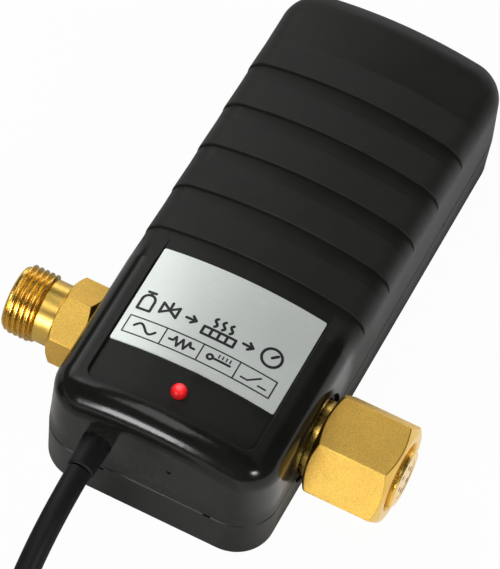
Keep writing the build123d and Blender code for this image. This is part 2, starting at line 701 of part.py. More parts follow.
def wires():
    """The insulated leads inside the housing, by name."""
    hole_z = WALL + 5
    hole_end = TERMINAL_Y + 2.5
    behind = TERMINAL_Y + TERMINAL_SIZE[1] / 2 + 3
    tab_z = BLOCK_TOP_Z + 5.9
    left, right = TERMINAL_X - TERMINAL_PITCH, TERMINAL_X + TERMINAL_PITCH
    live = [(-17, -65, 27), (-13.5, -63.4, 29), (-2, -64, 29.5), (15, -64.5, 21)]
    live += [(right, -64.5, 12), (right, behind, hole_z), (right, hole_end, hole_z)]
    neutral = [(-14.8, -65, 24.5), (-9, -63.6, 22.5), (0, -64.4, 15)]
    neutral += [(left, behind, hole_z), (left, hole_end, hole_z)]
    earth = [(-19.2, -65, 24.5), (-18.5, -62.6, 26), (-14, -59.5, 28.3), (EARTH_X, -55.8, 27.9)]
    fuse_end = (-12.6, FUSE_Y, BLOCK_TOP_Z + 3)
    switched = [(0, STAT_Y + 12.1, tab_z), (-1, 2, tab_z), (-12, 9, 30), (-16, FUSE_Y - 1, 29), fuse_end]
    lamp = [(0, STAT_Y - 12.1, tab_z), (-1, -44, 33), (4, -57, 32), (5, -70, 33.9)]
    return {
        "wire_live": wire(live),
        "wire_neutral": wire(neutral),
        "wire_earth": wire(earth),
        "wire_switched": wire(switched),
        "wire_lamp": wire(lamp, 0.7),
    }


def cord_tube(name, points):
    """A stretch of the mains lead. Its bends and its volume are printed."""
    path, radii = route(points)
    solid = sweep((path ^ 0) * Circle(CORD_R), path=path)
    expected = math.pi * CORD_R**2 * path.length
    print(name, "radii", [round(r, 1) for r in radii], "length", round(path.length, 1))
    print(name, "volume", round(solid.volume, 1), "section times length", round(expected, 1))
    return solid


def cord_coil():
    """The outer shape of the wound-up lead: a flat ring, three turns wide and two turns high."""
    half_band = CORD_R * COIL_WIDE
    height = 2 * CORD_R * COIL_LAYERS
    ring = Pos(COIL_X, COIL_Y, height / 2) * Cylinder(COIL_MEAN_R + half_band, height)
    ring -= Pos(COIL_X, COIL_Y, height / 2) * Cylinder(COIL_MEAN_R - half_band, height)
    return fillet(ring.edges().filter_by(GeomType.CIRCLE), CORD_R * 0.8)


def plug_body():
    """The two-pole plug with its moulded strain relief, turned about the plug's axis."""
    relief_end = PLUG_TAIL_Y + PLUG_RELIEF_L
    corners = [
        (0, PLUG_TAIL_Y),
        (4.3, PLUG_TAIL_Y),
        (6.5, relief_end),
        (12.0, relief_end + 2),
        (15.5, relief_end + 12),
        (15.5, relief_end + 22),
        (PLUG_BODY_R, relief_end + 26),
        (PLUG_BODY_R, PLUG_FACE_Y - 1),
        (PLUG_BODY_R - 1, PLUG_FACE_Y),
        (0, PLUG_FACE_Y),
    ]
    profile = make_face(Polyline(*corners, close=True))
    body = Pos(PLUG_X, 0, PLUG_Z) * revolve(profile, Axis.Y)
    for side in (-1, 1):
        at = (PLUG_X + side * PLUG_PIN_X, PLUG_Z)
        body -= rod("y", PLUG_PIN_ROOT_R, PLUG_FACE_Y - PLUG_PIN_ROOT_L, PLUG_FACE_Y + 1, at)
        edge_z = sorted((PLUG_Z + side * (PLUG_BODY_R - 2.5), PLUG_Z + side * (PLUG_BODY_R + 1)))
        body -= block((PLUG_X - 3, PLUG_FACE_Y - 12, edge_z[0]), (PLUG_X + 3, PLUG_FACE_Y + 1, edge_z[1]))
    return body


def plug_pin(side):
    at = (PLUG_X + side * PLUG_PIN_X, PLUG_Z)
    start = PLUG_FACE_Y + PLUG_PIN_STAND_OFF
    pin = rod("y", PLUG_PIN_R, start, PLUG_FACE_Y + PLUG_PIN_L, at)
    pin = fillet(pin.faces().sort_by(Axis.Y)[-1].edges(), PLUG_PIN_TIP_R)
    return pin + rod("y", PLUG_PIN_ROOT_R, PLUG_FACE_Y - PLUG_PIN_ROOT_L, start, at)


def earth_strip(side):
    """A contact strip let into the plug's rim, flush below its surface."""
    near = PLUG_Z + side * (PLUG_BODY_R - 2.5)
    far = PLUG_Z + side * (PLUG_BODY_R - 0.9)
    low, high = sorted((near, far))
    return block((PLUG_X - 2.9, PLUG_FACE_Y - 11.9, low), (PLUG_X + 2.9, PLUG_FACE_Y, high))


def sub_parts():
    """Every piece of the heater by node name."""
    made = {
        "lower_shell": lower_shell(),
        "upper_shell": upper_shell(),
        "rating_plate": rating_plate(),
        "pilot_lens": pilot_lens(),
        "lamp_board": lamp_board(),
        "series_resistor": series_resistor(),
        "cord_grommet": cord_grommet(),
        "inner_sheath": inner_sheath(),
        "clamp_bar": clamp_bar(),
        "heater_block": heater_block(),
        "cartridge_heater": cartridge_heater(),
        "inlet_nipple": inlet_nipple(),
        "inlet_seal": port_seal(1),
        "strainer_disc": strainer_disc(),
        "thrust_ring": thrust_ring(),
        "union_nut": union_nut(),
        "outlet_fitting": outlet_fitting(),
        "outlet_seal": port_seal(-1),
        "thermostat": thermostat(),
        "thermal_fuse": thermal_fuse(),
        "fuse_clip": fuse_clip(),
        "fuse_screw": small_screw(10, FUSE_Y, BLOCK_TOP_Z + 1),
        "terminal_block": terminal_block(),
        "earth_lug": earth_lug(),
        "earth_screw": small_screw(EARTH_X, BLOCK_FRONT_Y + 8, BLOCK_TOP_Z + 0.8),
        "insulation_pad": insulation_pad(),
        "supply_cord": cord_tube("supply_cord", LEAD_POINTS),
        "cord_coil": cord_coil(),
        "plug_cord": cord_tube("plug_cord", TAIL_POINTS),
        "plug_body": plug_body(),
    }
    for n, (x, y) in enumerate(SHELL_SCREWS, 1):
        made[f"shell_screw_{n}"] = shell_screw(x, y)
    for n, (x, y) in enumerate(BLOCK_SCREWS, 1):
        made[f"block_screw_{n}"] = block_screw(x, y)
    for n, plug in enumerate(channel_plugs(), 1):
        made[f"channel_plug_{n}"] = plug
    for n, side in enumerate((-1, 1), 1):
        made[f"clamp_screw_{n}"] = clamp_screw(side)
        made[f"thermostat_screw_{n}"] = small_screw(side * STAT_SCREW_X, STAT_Y, BLOCK_TOP_Z + 1)
        made[f"plug_pin_{n}"] = plug_pin(side)
        made[f"earth_strip_{n}"] = earth_strip(side)
    for n in (1, 2, 3):
        made[f"terminal_screw_{n}"] = terminal_screw(n - 2)
    made.update(wires())
    return made


def main():
    os.makedirs("parts", exist_ok=True)
    for name, shape in sub_parts().items():
        export_step(shape, f"parts/{name}.step")


main()
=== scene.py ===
import math

import bmesh
import bpy
from bpy.props import FloatProperty, FloatVectorProperty, IntProperty, PointerProperty
from mathutils import Matrix, Vector


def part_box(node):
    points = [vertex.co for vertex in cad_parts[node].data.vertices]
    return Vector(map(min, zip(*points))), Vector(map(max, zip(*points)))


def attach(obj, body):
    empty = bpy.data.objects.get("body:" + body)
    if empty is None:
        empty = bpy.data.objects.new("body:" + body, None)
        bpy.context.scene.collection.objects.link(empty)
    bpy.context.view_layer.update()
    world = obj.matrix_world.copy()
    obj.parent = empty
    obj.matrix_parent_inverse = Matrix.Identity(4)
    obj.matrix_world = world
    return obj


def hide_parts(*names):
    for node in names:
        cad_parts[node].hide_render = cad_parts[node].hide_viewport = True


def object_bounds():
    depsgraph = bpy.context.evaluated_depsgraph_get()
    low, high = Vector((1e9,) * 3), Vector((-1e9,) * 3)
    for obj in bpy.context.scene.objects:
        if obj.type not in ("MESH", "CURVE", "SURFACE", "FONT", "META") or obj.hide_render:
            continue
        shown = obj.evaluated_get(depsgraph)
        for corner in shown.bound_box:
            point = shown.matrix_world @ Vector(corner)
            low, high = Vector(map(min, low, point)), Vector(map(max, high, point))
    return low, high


bl_info = {
    "name": "In-line gas heater",
    "version": (1, 0, 0),
    "blender": (4, 5, 0),
    "location": "3D View > Sidebar > Gas heater",
    "description": "Builds the finished pieces of an electric gas heater around its packed frame",
    "category": "Add Mesh",
}

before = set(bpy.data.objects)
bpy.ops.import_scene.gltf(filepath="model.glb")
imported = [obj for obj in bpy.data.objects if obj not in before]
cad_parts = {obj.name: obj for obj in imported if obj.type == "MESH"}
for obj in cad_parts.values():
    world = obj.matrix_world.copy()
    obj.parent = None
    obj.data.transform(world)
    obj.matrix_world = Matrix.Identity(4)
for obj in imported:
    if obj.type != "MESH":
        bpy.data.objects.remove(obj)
CAD_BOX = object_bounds()
MM = 0.001
HOUSING = "housing"
NUT = "nut"

# Places that the pieces share, read from the frame
NUT_LOW, NUT_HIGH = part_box("union_nut")
OUTLET_LOW, OUTLET_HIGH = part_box("outlet_fitting")
PLATE_LOW, PLATE_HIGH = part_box("rating_plate")
GLAND_LOW, GLAND_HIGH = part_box("cord_grommet")
LENS_LOW, LENS_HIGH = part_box("pilot_lens")
SHELL_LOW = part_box("upper_shell")[0]
PLUG_LOW, PLUG_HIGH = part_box("plug_body")
GAS_AXIS = (NUT_LOW + NUT_HIGH) / 2
GLAND_AXIS = (GLAND_LOW + GLAND_HIGH) / 2

# The lead's two free stretches, as the part's route has them, and the coil between them
LEAD_POINTS = [
    (-0.0170, -0.0963, 0.0260),
    (-0.0171, -0.1130, 0.0239),
    (-0.0168, -0.1335, 0.0126),
    (-0.0145, -0.1510, 0.0054),
    (-0.0089, -0.1685, 0.0038),
    (-0.0074, -0.1825, 0.0037),
]
TAIL_POINTS = [
    (-0.0962, -0.1825, 0.0111),
    (-0.0960, -0.1685, 0.0124),
    (-0.0964, -0.1545, 0.0170),
    (-0.0962, -0.1415, 0.0185),
]
COIL_CENTRE = Vector((-0.0518, -0.2005, 0.0))

PLATE_CROWN_R = 119.5 * MM  # the arc of the plate's face across X
ROOF_ENDS_Y = -76.5 * MM  # the front edge of the satin roof
ROOF_ENDS_X = 28.5 * MM  # its side edges, ahead of the ribs
RIBS_END_Y = -20.0 * MM


# Settings shown in the sidebar


def distance(label, what, value, low, high):
    """A setting in metres."""
    return FloatProperty(name=label, description=what, subtype="DISTANCE", default=value, min=low, max=high)


def tint(label, what, value):
    """A colour setting."""
    return FloatVectorProperty(name=label, description=what, subtype="COLOR", default=value, min=0, max=1)


def share(label, what, value):
    """A setting from 0 to 1."""
    return FloatProperty(name=label, description=what, subtype="FACTOR", default=value, min=0, max=1)


def power(label, what, value):
    """A light's power in watts."""
    return FloatProperty(name=label, description=what, default=value, min=0, unit="POWER")


def degrees(value):
    """The turn of a hexagon's flats about the gas axis."""
    what = "Turn of the flats about the gas axis, in degrees"
    return FloatProperty(name="Turn", description=what, default=value)


class HeaterHousing(bpy.types.PropertyGroup):
    """The two moulded shells."""

    colour: tint("Plastic colour", "Colour of the moulded shells", (0.0080, 0.0081, 0.0066))
    grain: distance("Grain", "Size of the moulded grain on the roof", 0.35 * MM, 0.05 * MM, 2 * MM)
    roof_roughness: share("Roof roughness", "Roughness of the satin roof", 0.52)
    edge_roughness: share("Edge roughness", "Roughness of the polished front and rounded edges", 0.17)


class HeaterBrass(bpy.types.PropertyGroup):
    """The union nut, the outlet fitting and the inlet nipple."""

    colour: tint("Brass colour", "Colour of the brass", (0.88, 0.57, 0.125))
    edge_break: distance("Edge break", "Width of the broken edges", 0.3 * MM, 0.05 * MM, 1 * MM)
    outlet_pitch: distance("Outlet pitch", "Pitch of the outlet's male thread", 1.814 * MM, 0.5 * MM, 3 * MM)
    nut_pitch: distance("Nut pitch", "Pitch of the union nut's female thread", 1.814 * MM, 0.5 * MM, 3 * MM)
    thread_steps: IntProperty(
        name="Thread steps", description="Steps in one turn of a thread", default=72, min=24, max=200)


class HeaterPlate(bpy.types.PropertyGroup):
    """The rating plate and its printed symbols."""

    colour: tint("Plate colour", "Colour of the brushed plate", (0.82, 0.87, 0.83))
    ink: tint("Ink colour", "Colour of the printed symbols", (0.012, 0.012, 0.014))
    stroke: distance("Stroke", "Width of the large symbols' lines", 0.85 * MM, 0.2 * MM, 2 * MM)


class HeaterLead(bpy.types.PropertyGroup):
    """The mains lead and its coil."""

    diameter: distance("Diameter", "Diameter of the lead's sheath", 7.4 * MM, 3 * MM, 12 * MM)
    coil_radius: distance("Coil radius", "Radius of the coil's middle turn", 37 * MM, 30 * MM, 80 * MM)
    turn_points: IntProperty(
        name="Points in a turn", description="Control points in one turn of the coil",
        default=16, min=12, max=32)


class HeaterStage(bpy.types.PropertyGroup):
    """Floor, lights and camera."""

    floor_colour: tint("Floor colour", "Colour of the pale floor", (0.72, 0.72, 0.71))
    glow: share("Floor glow", "How far the floor hides its shadows from the camera", 0.97)
    sky: FloatProperty(
        name="Surroundings", description="Brightness of the room around the stage",
        default=0.07, min=0, max=5)
    key: power("Key light", "Power of the key softbox", 8.5)
    side: power("Side light", "Power of the side softbox", 8.0)
    rear: power("Rear light", "Power of the low rear card", 7.5)
    top: power("Top light", "Power of the lamp overhead", 2.4)
    corner: power("Corner lamp", "Power of the small corner lamp", 7.0)


# Mesh helpers


def finish_mesh(bm, name, material, body=HOUSING, sharp_deg=32.0):
    """Turns a bmesh into a smooth-shaded object that rides on a body, with its place in its mesh."""
    mesh = bpy.data.meshes.new(name)
    bm.to_mesh(mesh)
    bm.free()
    piece = bpy.data.objects.new(name, mesh)
    bpy.context.scene.collection.objects.link(piece)
    mesh.materials.append(material)
    mesh.shade_smooth()
    mesh.set_sharp_from_angle(angle=math.radians(sharp_deg))
    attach(piece, body)
    return piece


def settle(bm):
    """Merges doubled vertices, then points every face outwards."""
    bmesh.ops.remove_doubles(bm, verts=bm.verts, dist=0.0005 * MM)
    bmesh.ops.recalc_face_normals(bm, faces=bm.faces)


def turned(bm, corners, centre, axis, steps=96, closed=False):
    """Spins (distance along the axis, radius) corners once round the axis through centre."""
    along = Vector(axis)
    out = along.orthogonal().normalized()
    verts = [bm.verts.new(Vector(centre) + along * x + out * r) for x, r in corners]
    pairs = list(zip(verts, verts[1:]))
    if closed:
        pairs.append((verts[-1], verts[0]))
    edges = [bm.edges.new(pair) for pair in pairs]
    bmesh.ops.spin(
        bm, geom=verts + edges, cent=centre, axis=along, angle=2 * math.pi, steps=steps, use_merge=True)
    settle(bm)


def rounded(corners, radius, steps=3):
    """The same open line of (x, r) corners, each inner corner replaced by a small arc."""
    line = [corners[0]]
    for before, corner, after in zip(corners, corners[1:], corners[2:]):
        corner = Vector(corner)
        back = Vector(before) - corner
        ahead = Vector(after) - corner
        reach = min(radius, back.length * 0.45, ahead.length * 0.45)
        first = corner + back.normalized() * reach
        last = corner + ahead.normalized() * reach
        for n in range(steps + 1):
            t = n / steps
            line.append(tuple(first * (1 - t) ** 2 + corner * 2 * t * (1 - t) + last * t ** 2))
    line.append(corners[-1])
    return line


def helix_ridge(bm, section, centre, axis, pitch, turns, steps):
    """Spins a closed section of (x, r) corners along a helix and caps its two ends."""
    along = Vector(axis)
    out = along.orthogonal().normalized()
    verts = [bm.verts.new(Vector(centre) + along * x + out * r) for x, r in section]
    edges = [bm.edges.new(pair) for pair in zip(verts, verts[1:] + verts[:1])]
    count = round(turns * steps)
    made = bmesh.ops.spin(
        bm, geom=verts + edges, cent=centre, axis=along, dvec=along * (pitch / steps),
        angle=2 * math.pi * turns, steps=count, use_merge=False)
    last = [e for e in made["geom_last"] if isinstance(e, bmesh.types.BMEdge)]
    bmesh.ops.contextual_create(bm, geom=edges)
    bmesh.ops.contextual_create(bm, geom=last)


def hold_under(bm, centre, axis, limit):
    """Moves vertices towards the axis until none is further out than limit(distance along the axis)."""
    along = Vector(axis)
    for vert in bm.verts:
        offset = vert.co - Vector(centre)
        x = offset.dot(along)
        radial = offset - along * x
        if radial.length > limit(x) > 0:
            vert.co = Vector(centre) + along * x + radial.normalized() * limit(x)


def solid_of(bm):
    """A mesh object for one side of a boolean. It isn't kept."""
    mesh = bpy.data.meshes.new("tool")
    bm.to_mesh(mesh)
    bm.free()
    tool = bpy.data.objects.new("tool", mesh)
    bpy.context.scene.collection.objects.link(tool)
    return tool


def combined(base, tool, operation):
    """A bmesh of two closed bmeshes joined by a boolean."""
    a, b = solid_of(base), solid_of(tool)
    cut = a.modifiers.new("Cut", "BOOLEAN")
    cut.operation = operation
    cut.solver = "EXACT"
    cut.object = b
    evaluated = a.evaluated_get(bpy.context.evaluated_depsgraph_get())
    made = bmesh.new()
    made.from_mesh(evaluated.to_mesh())
    evaluated.to_mesh_clear()
    for thing in (a, b):
        mesh = thing.data
        bpy.data.objects.remove(thing)
        bpy.data.meshes.remove(mesh)
    return made


def bevelled(piece, width, segments=2, angle_deg=24.0):
    """Breaks a piece's sharp edges with a Bevel modifier."""
    bevel = piece.modifiers.new("Broken edges", "BEVEL")
    bevel.width = width
    bevel.segments = segments
    bevel.limit_method = "ANGLE"
    bevel.angle_limit = math.radians(angle_deg)
    bevel.profile = 0.5
    return piece


def hexagon(across_flats, x_from, x_to, turn_deg):
    """A hexagonal bar along the gas axis. At turn 0 one edge of it points towards +Y."""
    bm = bmesh.new()
    corner = across_flats / math.sqrt(3)
    bmesh.ops.create_cone(bm, cap_ends=True, segments=6, radius1=corner, radius2=corner, depth=x_to - x_from)
    upright = Matrix.Rotation(math.radians(90), 4, "Y")
    spots = [upright @ v.co for v in bm.verts]
    first = math.degrees(math.atan2(spots[0].z, spots[0].y))
    turn = Matrix.Rotation(math.radians(turn_deg - first), 4, "X")
    place = Matrix.Translation(Vector(((x_from + x_to) / 2, GAS_AXIS.y, GAS_AXIS.z)))
    bmesh.ops.transform(bm, matrix=place @ turn @ upright, verts=bm.verts)
    return bm


# Material helpers


def add(tree, kind, links=None, values=None, **settings):
    """A node with its settings, the values of its sockets and the links into them."""
    node = tree.nodes.new(kind)
    for key, value in settings.items():
        setattr(node, key, value)
    for key, value in (values or {}).items():
        node.inputs[key].default_value = value
    for key, source in (links or {}).items():
        tree.links.new(source, node.inputs[key])
    return node


def maths(tree, operation, first, second=None, clamp=False):
    """A Math node's result. Each operand is a socket or a number."""
    node = add(tree, "ShaderNodeMath", operation=operation, use_clamp=clamp)
    for index, operand in enumerate((first, second)):
        if isinstance(operand, bpy.types.NodeSocket):
            tree.links.new(operand, node.inputs[index])
        elif operand is not None:
            node.inputs[index].default_value = operand
    return node.outputs[0]


def mixed(tree, factor, first, second):
    """A Mix node's colour. Each colour is a socket or four numbers."""
    node = add(tree, "ShaderNodeMix", {"Factor": factor}, data_type="RGBA")
    for index, colour in ((6, first), (7, second)):
        if isinstance(colour, bpy.types.NodeSocket):
            tree.links.new(colour, node.inputs[index])
        else:
            node.inputs[index].default_value = colour
    return node.outputs[2]


def ramp(tree, source, low, high, to_low=0.0, to_high=1.0):
    """A value mapped smoothly from one range to another, and held at its ends."""
    values = {"From Min": low, "From Max": high, "To Min": to_low, "To Max": to_high}
    node = add(tree, "ShaderNodeMapRange", {"Value": source}, values, interpolation_type="SMOOTHSTEP")
    return node.outputs["Result"]


def object_point(tree, centre=(0, 0, 0)):
    """Object coordinates in metres, measured from centre."""
    source = add(tree, "ShaderNodeTexCoord").outputs["Object"]
    shift = [-c for c in centre]
    return add(tree, "ShaderNodeMapping", {"Vector": source}, {"Location": shift}).outputs["Vector"]


def shader_group(name, inputs, outputs, build):
    """A node group with named sockets, built once and then shared."""
    known = bpy.data.node_groups.get(name)
    if known:
        return known
    group = bpy.data.node_groups.new(name, "ShaderNodeTree")
    for label, kind, value in inputs:
        socket = group.interface.new_socket(label, in_out="INPUT", socket_type=kind)
        if value is not None:
            socket.default_value = value
    for label, kind in outputs:
        group.interface.new_socket(label, in_out="OUTPUT", socket_type=kind)
    build(group, group.nodes.new("NodeGroupInput").outputs, group.nodes.new("NodeGroupOutput").inputs)
    return group


def grain_group():
    """Fine moulded or blasted grain: a height, and a mottle of broader patches."""

    def build(tree, given, out):
        scale = maths(tree, "DIVIDE", 1.0, given["Size"])
        fine = add(tree, "ShaderNodeTexNoise", {"Vector": given["Vector"], "Scale": scale}, {"Detail": 3.0})
        wide_scale = maths(tree, "MULTIPLY", scale, 0.045)
        links = {"Vector": given["Vector"], "Scale": wide_scale}
        wide = add(tree, "ShaderNodeTexNoise", links, {"Detail": 4.0})
        tree.links.new(fine.outputs["Fac"], out["Height"])
        tree.links.new(ramp(tree, wide.outputs["Fac"], 0.3, 0.7), out["Mottle"])

    inputs = [("Vector", "NodeSocketVector", None), ("Size", "NodeSocketFloat", 0.3 * MM)]
    outputs = [("Height", "NodeSocketFloat"), ("Mottle", "NodeSocketFloat")]
    return shader_group("Grain", inputs, outputs, build)


def turned_group():
    """Tool marks left by a lathe: fine rings along the axis and across the end faces."""

    def build(tree, given, out):
        parts = add(tree, "ShaderNodeSeparateXYZ", {"Vector": given["Vector"]}).outputs
        across = maths(tree, "POWER", parts["Y"], 2.0)
        across = maths(tree, "ADD", across, maths(tree, "POWER", parts["Z"], 2.0))
        place = maths(tree, "ADD", parts["X"], maths(tree, "SQRT", across))
        place = maths(tree, "DIVIDE", place, given["Spacing"])
        values = {"Scale": 1.0, "Detail": 2.0}
        rings = add(tree, "ShaderNodeTexNoise", {"W": place}, values, noise_dimensions="1D")
        tree.links.new(rings.outputs["Fac"], out["Height"])

    inputs = [("Vector", "NodeSocketVector", None), ("Spacing", "NodeSocketFloat", 0.2 * MM)]
    return shader_group("Lathe marks", inputs, [("Height", "NodeSocketFloat")], build)


def brushed_group():
    """Long fine scratches along X."""

    def build(tree, given, out):
        stretch = add(tree, "ShaderNodeMapping", {"Vector": given["Vector"]}, {"Scale": (60, 5200, 5200)})
        values = {"Scale": 1.0, "Detail": 4.0}
        lines = add(tree, "ShaderNodeTexNoise", {"Vector": stretch.outputs["Vector"]}, values)
        tree.links.new(lines.outputs["Fac"], out["Height"])

    return shader_group(
        "Brushing", [("Vector", "NodeSocketVector", None)], [("Height", "NodeSocketFloat")], build)


def edge_wear_and_highlight_group():
    """A mask of a piece's convex edges, broken up by noise: it smooths a finish where the edges are worn, and
    it lightens a colour as a painted highlight.
    """

    def build(tree, given, out):
        edge = add(tree, "ShaderNodeNewGeometry").outputs["Pointiness"]
        noise = add(tree, "ShaderNodeTexNoise", {"Vector": given["Vector"]}, {"Scale": 900.0, "Detail": 3.0})
        mask = ramp(tree, edge, 0.52, 0.60)
        mask = maths(tree, "MULTIPLY", mask, ramp(tree, noise.outputs["Fac"], 0.35, 0.65))
        tree.links.new(maths(tree, "MULTIPLY", mask, given["Amount"]), out["Mask"])

    inputs = [("Vector", "NodeSocketVector", None), ("Amount", "NodeSocketFloat", 0.5)]
    return shader_group("Edge rubbing and painted highlight", inputs, [("Mask", "NodeSocketFloat")], build)


def dust_group():
    """Handling marks and dust: slow patches that change a finish's roughness."""

    def build(tree, given, out):
        slow = add(tree, "ShaderNodeTexNoise", {"Vector": given["Vector"]}, {"Scale": 45.0, "Detail": 5.0})
        value = ramp(tree, slow.outputs["Fac"], 0.3, 0.72)
        low = maths(tree, "SUBTRACT", given["Roughness"], given["Spread"])
        spread = maths(tree, "MULTIPLY", given["Spread"], 2.0)
        tree.links.new(maths(tree, "ADD", low, maths(tree, "MULTIPLY", value, spread)), out["Roughness"])

    inputs = [
        ("Vector", "NodeSocketVector", None),
        ("Roughness", "NodeSocketFloat", 0.4),
        ("Spread", "NodeSocketFloat", 0.05),
    ]
    return shader_group("Handling marks", inputs, [("Roughness", "NodeSocketFloat")], build)


def new_material(name, roughness, metallic=0.0, **sockets):
    """A material, its tree and its Principled shader, with the constant sockets set."""
    made = bpy.data.materials.new(name)
    made.use_nodes = True
    shader = made.node_tree.nodes["Principled BSDF"]
    shader.inputs["Roughness"].default_value = roughness
    shader.inputs["Metallic"].default_value = metallic
    for label, value in sockets.items():
        shader.inputs[label.replace("_", " ")].default_value = value
    return made, made.node_tree, shader


def tinted(tree, colour, mask, dark, light):
    """A colour whose brightness follows a mask, from dark to light times itself."""
    value = ramp(tree, mask, 0.0, 1.0, dark, light)
    return add(tree, "ShaderNodeHueSaturation", {"Value": value}, {"Color": (*colour, 1)}).outputs["Color"]


def bump(tree, shader, height, strength, depth):
    """Bumps a shader's normal by a height of 0 to 1 times a depth in metres."""
    node = add(tree, "ShaderNodeBump", {"Height": height}, {"Strength": strength, "Distance": depth})
    tree.links.new(node.outputs["Normal"], shader.inputs["Normal"])


def grained_material(name, colour, roughness, metallic=0.0, size=0.3 * MM, strength=0.3, **sockets):
    """A finish with grain, mottled colour and handling marks."""
    known = bpy.data.materials.get(name)
    if known:
        return known
    made, tree, shader = new_material(name, roughness, metallic, **sockets)
    place = object_point(tree)
    grain = add(tree, "ShaderNodeGroup", node_tree=grain_group())
    grain.inputs["Size"].default_value = size
    tree.links.new(place, grain.inputs["Vector"])
    marks = add(tree, "ShaderNodeGroup", node_tree=dust_group())
    tree.links.new(place, marks.inputs["Vector"])
    marks.inputs["Roughness"].default_value = roughness
    marks.inputs["Spread"].default_value = 0.05
    tree.links.new(marks.outputs["Roughness"], shader.inputs["Roughness"])
    tree.links.new(tinted(tree, colour, grain.outputs["Mottle"], 0.88, 1.12), shader.inputs["Base Color"])
    bump(tree, shader, grain.outputs["Height"], strength, size * 0.25)
    return made


# Materials of the heater


def housing_plastic(settings):
    """Black moulded plastic: a grained satin roof, polished front and side edges, and a painted highlight
    that lightens its convex edges.
    """
    made, tree, shader = new_material("housing plastic", settings.roof_roughness, Specular_IOR_Level=0.29)
    place = object_point(tree)
    parts = add(tree, "ShaderNodeSeparateXYZ", {"Vector": place}).outputs
    grain = add(tree, "ShaderNodeGroup", {"Vector": place}, node_tree=grain_group())
    grain.inputs["Size"].default_value = settings.grain
    front = ramp(tree, parts["Y"], ROOF_ENDS_Y, ROOF_ENDS_Y - 2.5 * MM)
    side = ramp(tree, maths(tree, "ABSOLUTE", parts["X"]), ROOF_ENDS_X, ROOF_ENDS_X + 3.5 * MM)
    forward = ramp(tree, parts["Y"], RIBS_END_Y, RIBS_END_Y - 14.0 * MM)
    polished = maths(tree, "MAXIMUM", front, maths(tree, "MULTIPLY", side, forward))
    above_seam = ramp(tree, parts["Z"], SHELL_LOW.z, SHELL_LOW.z + 12 * MM)
    polished = maths(tree, "MULTIPLY", polished, ramp(tree, above_seam, 0.0, 1.0, 0.35, 1.0))
    marks = add(tree, "ShaderNodeGroup", {"Vector": place}, {"Spread": 0.035}, node_tree=dust_group())
    rough = ramp(tree, polished, 0.0, 1.0, settings.roof_roughness, settings.edge_roughness)
    tree.links.new(rough, marks.inputs["Roughness"])
    tree.links.new(marks.outputs["Roughness"], shader.inputs["Roughness"])
    colour = tinted(tree, settings.colour, grain.outputs["Mottle"], 0.86, 1.14)
    # Painted highlight: the convex edges are lightened towards grey.
    edge_wear_and_highlight = add(tree, "ShaderNodeGroup", {"Vector": place}, {"Amount": 0.25}, node_tree=edge_wear_and_highlight_group())
    edge_highlighted = mixed(tree, edge_wear_and_highlight.outputs["Mask"], colour, (0.05, 0.05, 0.047, 1))
    tree.links.new(edge_highlighted, shader.inputs["Base Color"])
    flat = maths(tree, "MULTIPLY", grain.outputs["Height"], ramp(tree, polished, 0.0, 1.0, 1.0, 0.12))
    bump(tree, shader, flat, 0.35, 0.06 * MM)
    return made


def brass_material(name, settings, roughness, blasted, turned_marks, brightness=1.0):
    """Brass with blasted grain and lathe marks in the shares given, bright where its edges are worn smooth.
    """
    known = bpy.data.materials.get(name)
    if known:
        return known
    made, tree, shader = new_material(name, roughness, metallic=1.0)
    place = object_point(tree, (0, GAS_AXIS.y, GAS_AXIS.z))
    grain = add(tree, "ShaderNodeGroup", {"Vector": place}, {"Size": 0.34 * MM}, node_tree=grain_group())
    rings = add(tree, "ShaderNodeGroup", {"Vector": place}, {"Spacing": 0.16 * MM}, node_tree=turned_group())
    marks = add(tree, "ShaderNodeGroup", {"Vector": place}, {"Roughness": roughness, "Spread": 0.05},
                node_tree=dust_group())
    edge_wear_and_highlight = add(tree, "ShaderNodeGroup", {"Vector": place}, {"Amount": 0.16}, node_tree=edge_wear_and_highlight_group())
    smooth = maths(tree, "SUBTRACT", marks.outputs["Roughness"], edge_wear_and_highlight.outputs["Mask"], clamp=True)
    tree.links.new(smooth, shader.inputs["Roughness"])
    colour = [min(1.0, c * brightness) for c in settings.colour]
    speckle = maths(tree, "MULTIPLY", ramp(tree, grain.outputs["Height"], 0.34, 0.66), blasted)
    tone = maths(tree, "ADD", maths(tree, "MULTIPLY", grain.outputs["Mottle"], 0.2), speckle)
    tree.links.new(tinted(tree, colour, tone, 0.82, 1.10), shader.inputs["Base Color"])
    height = maths(tree, "MULTIPLY", rings.outputs["Height"], turned_marks)
    bump(tree, shader, maths(tree, "ADD", speckle, height), 0.5, 0.04 * MM)
    return made


def bright_brass(settings):
    """Machined brass."""
    return brass_material("bright brass", settings, 0.30, 0.3, 0.5, 1.05)


def blasted_brass(settings):
    """Blasted brass, for flats."""
    return brass_material("blasted brass", settings, 0.56, 0.8, 0.0, 1.03)


def plate_material(settings):
    """Brushed metal under a clear lacquer."""
    made, tree, shader = new_material("brushed plate", 0.36, 0.42, Coat_Weight=0.25, Coat_Roughness=0.2)
    place = object_point(tree)
    brushed = add(tree, "ShaderNodeGroup", {"Vector": place}, node_tree=brushed_group())
    marks = add(tree, "ShaderNodeGroup", {"Vector": place}, {"Roughness": 0.40, "Spread": 0.04},
                node_tree=dust_group())
    tree.links.new(marks.outputs["Roughness"], shader.inputs["Roughness"])
    colour = tinted(tree, settings.colour, brushed.outputs["Height"], 0.93, 1.06)
    tree.links.new(colour, shader.inputs["Base Color"])
    bump(tree, shader, brushed.outputs["Height"], 0.25, 0.02 * MM)
    return made


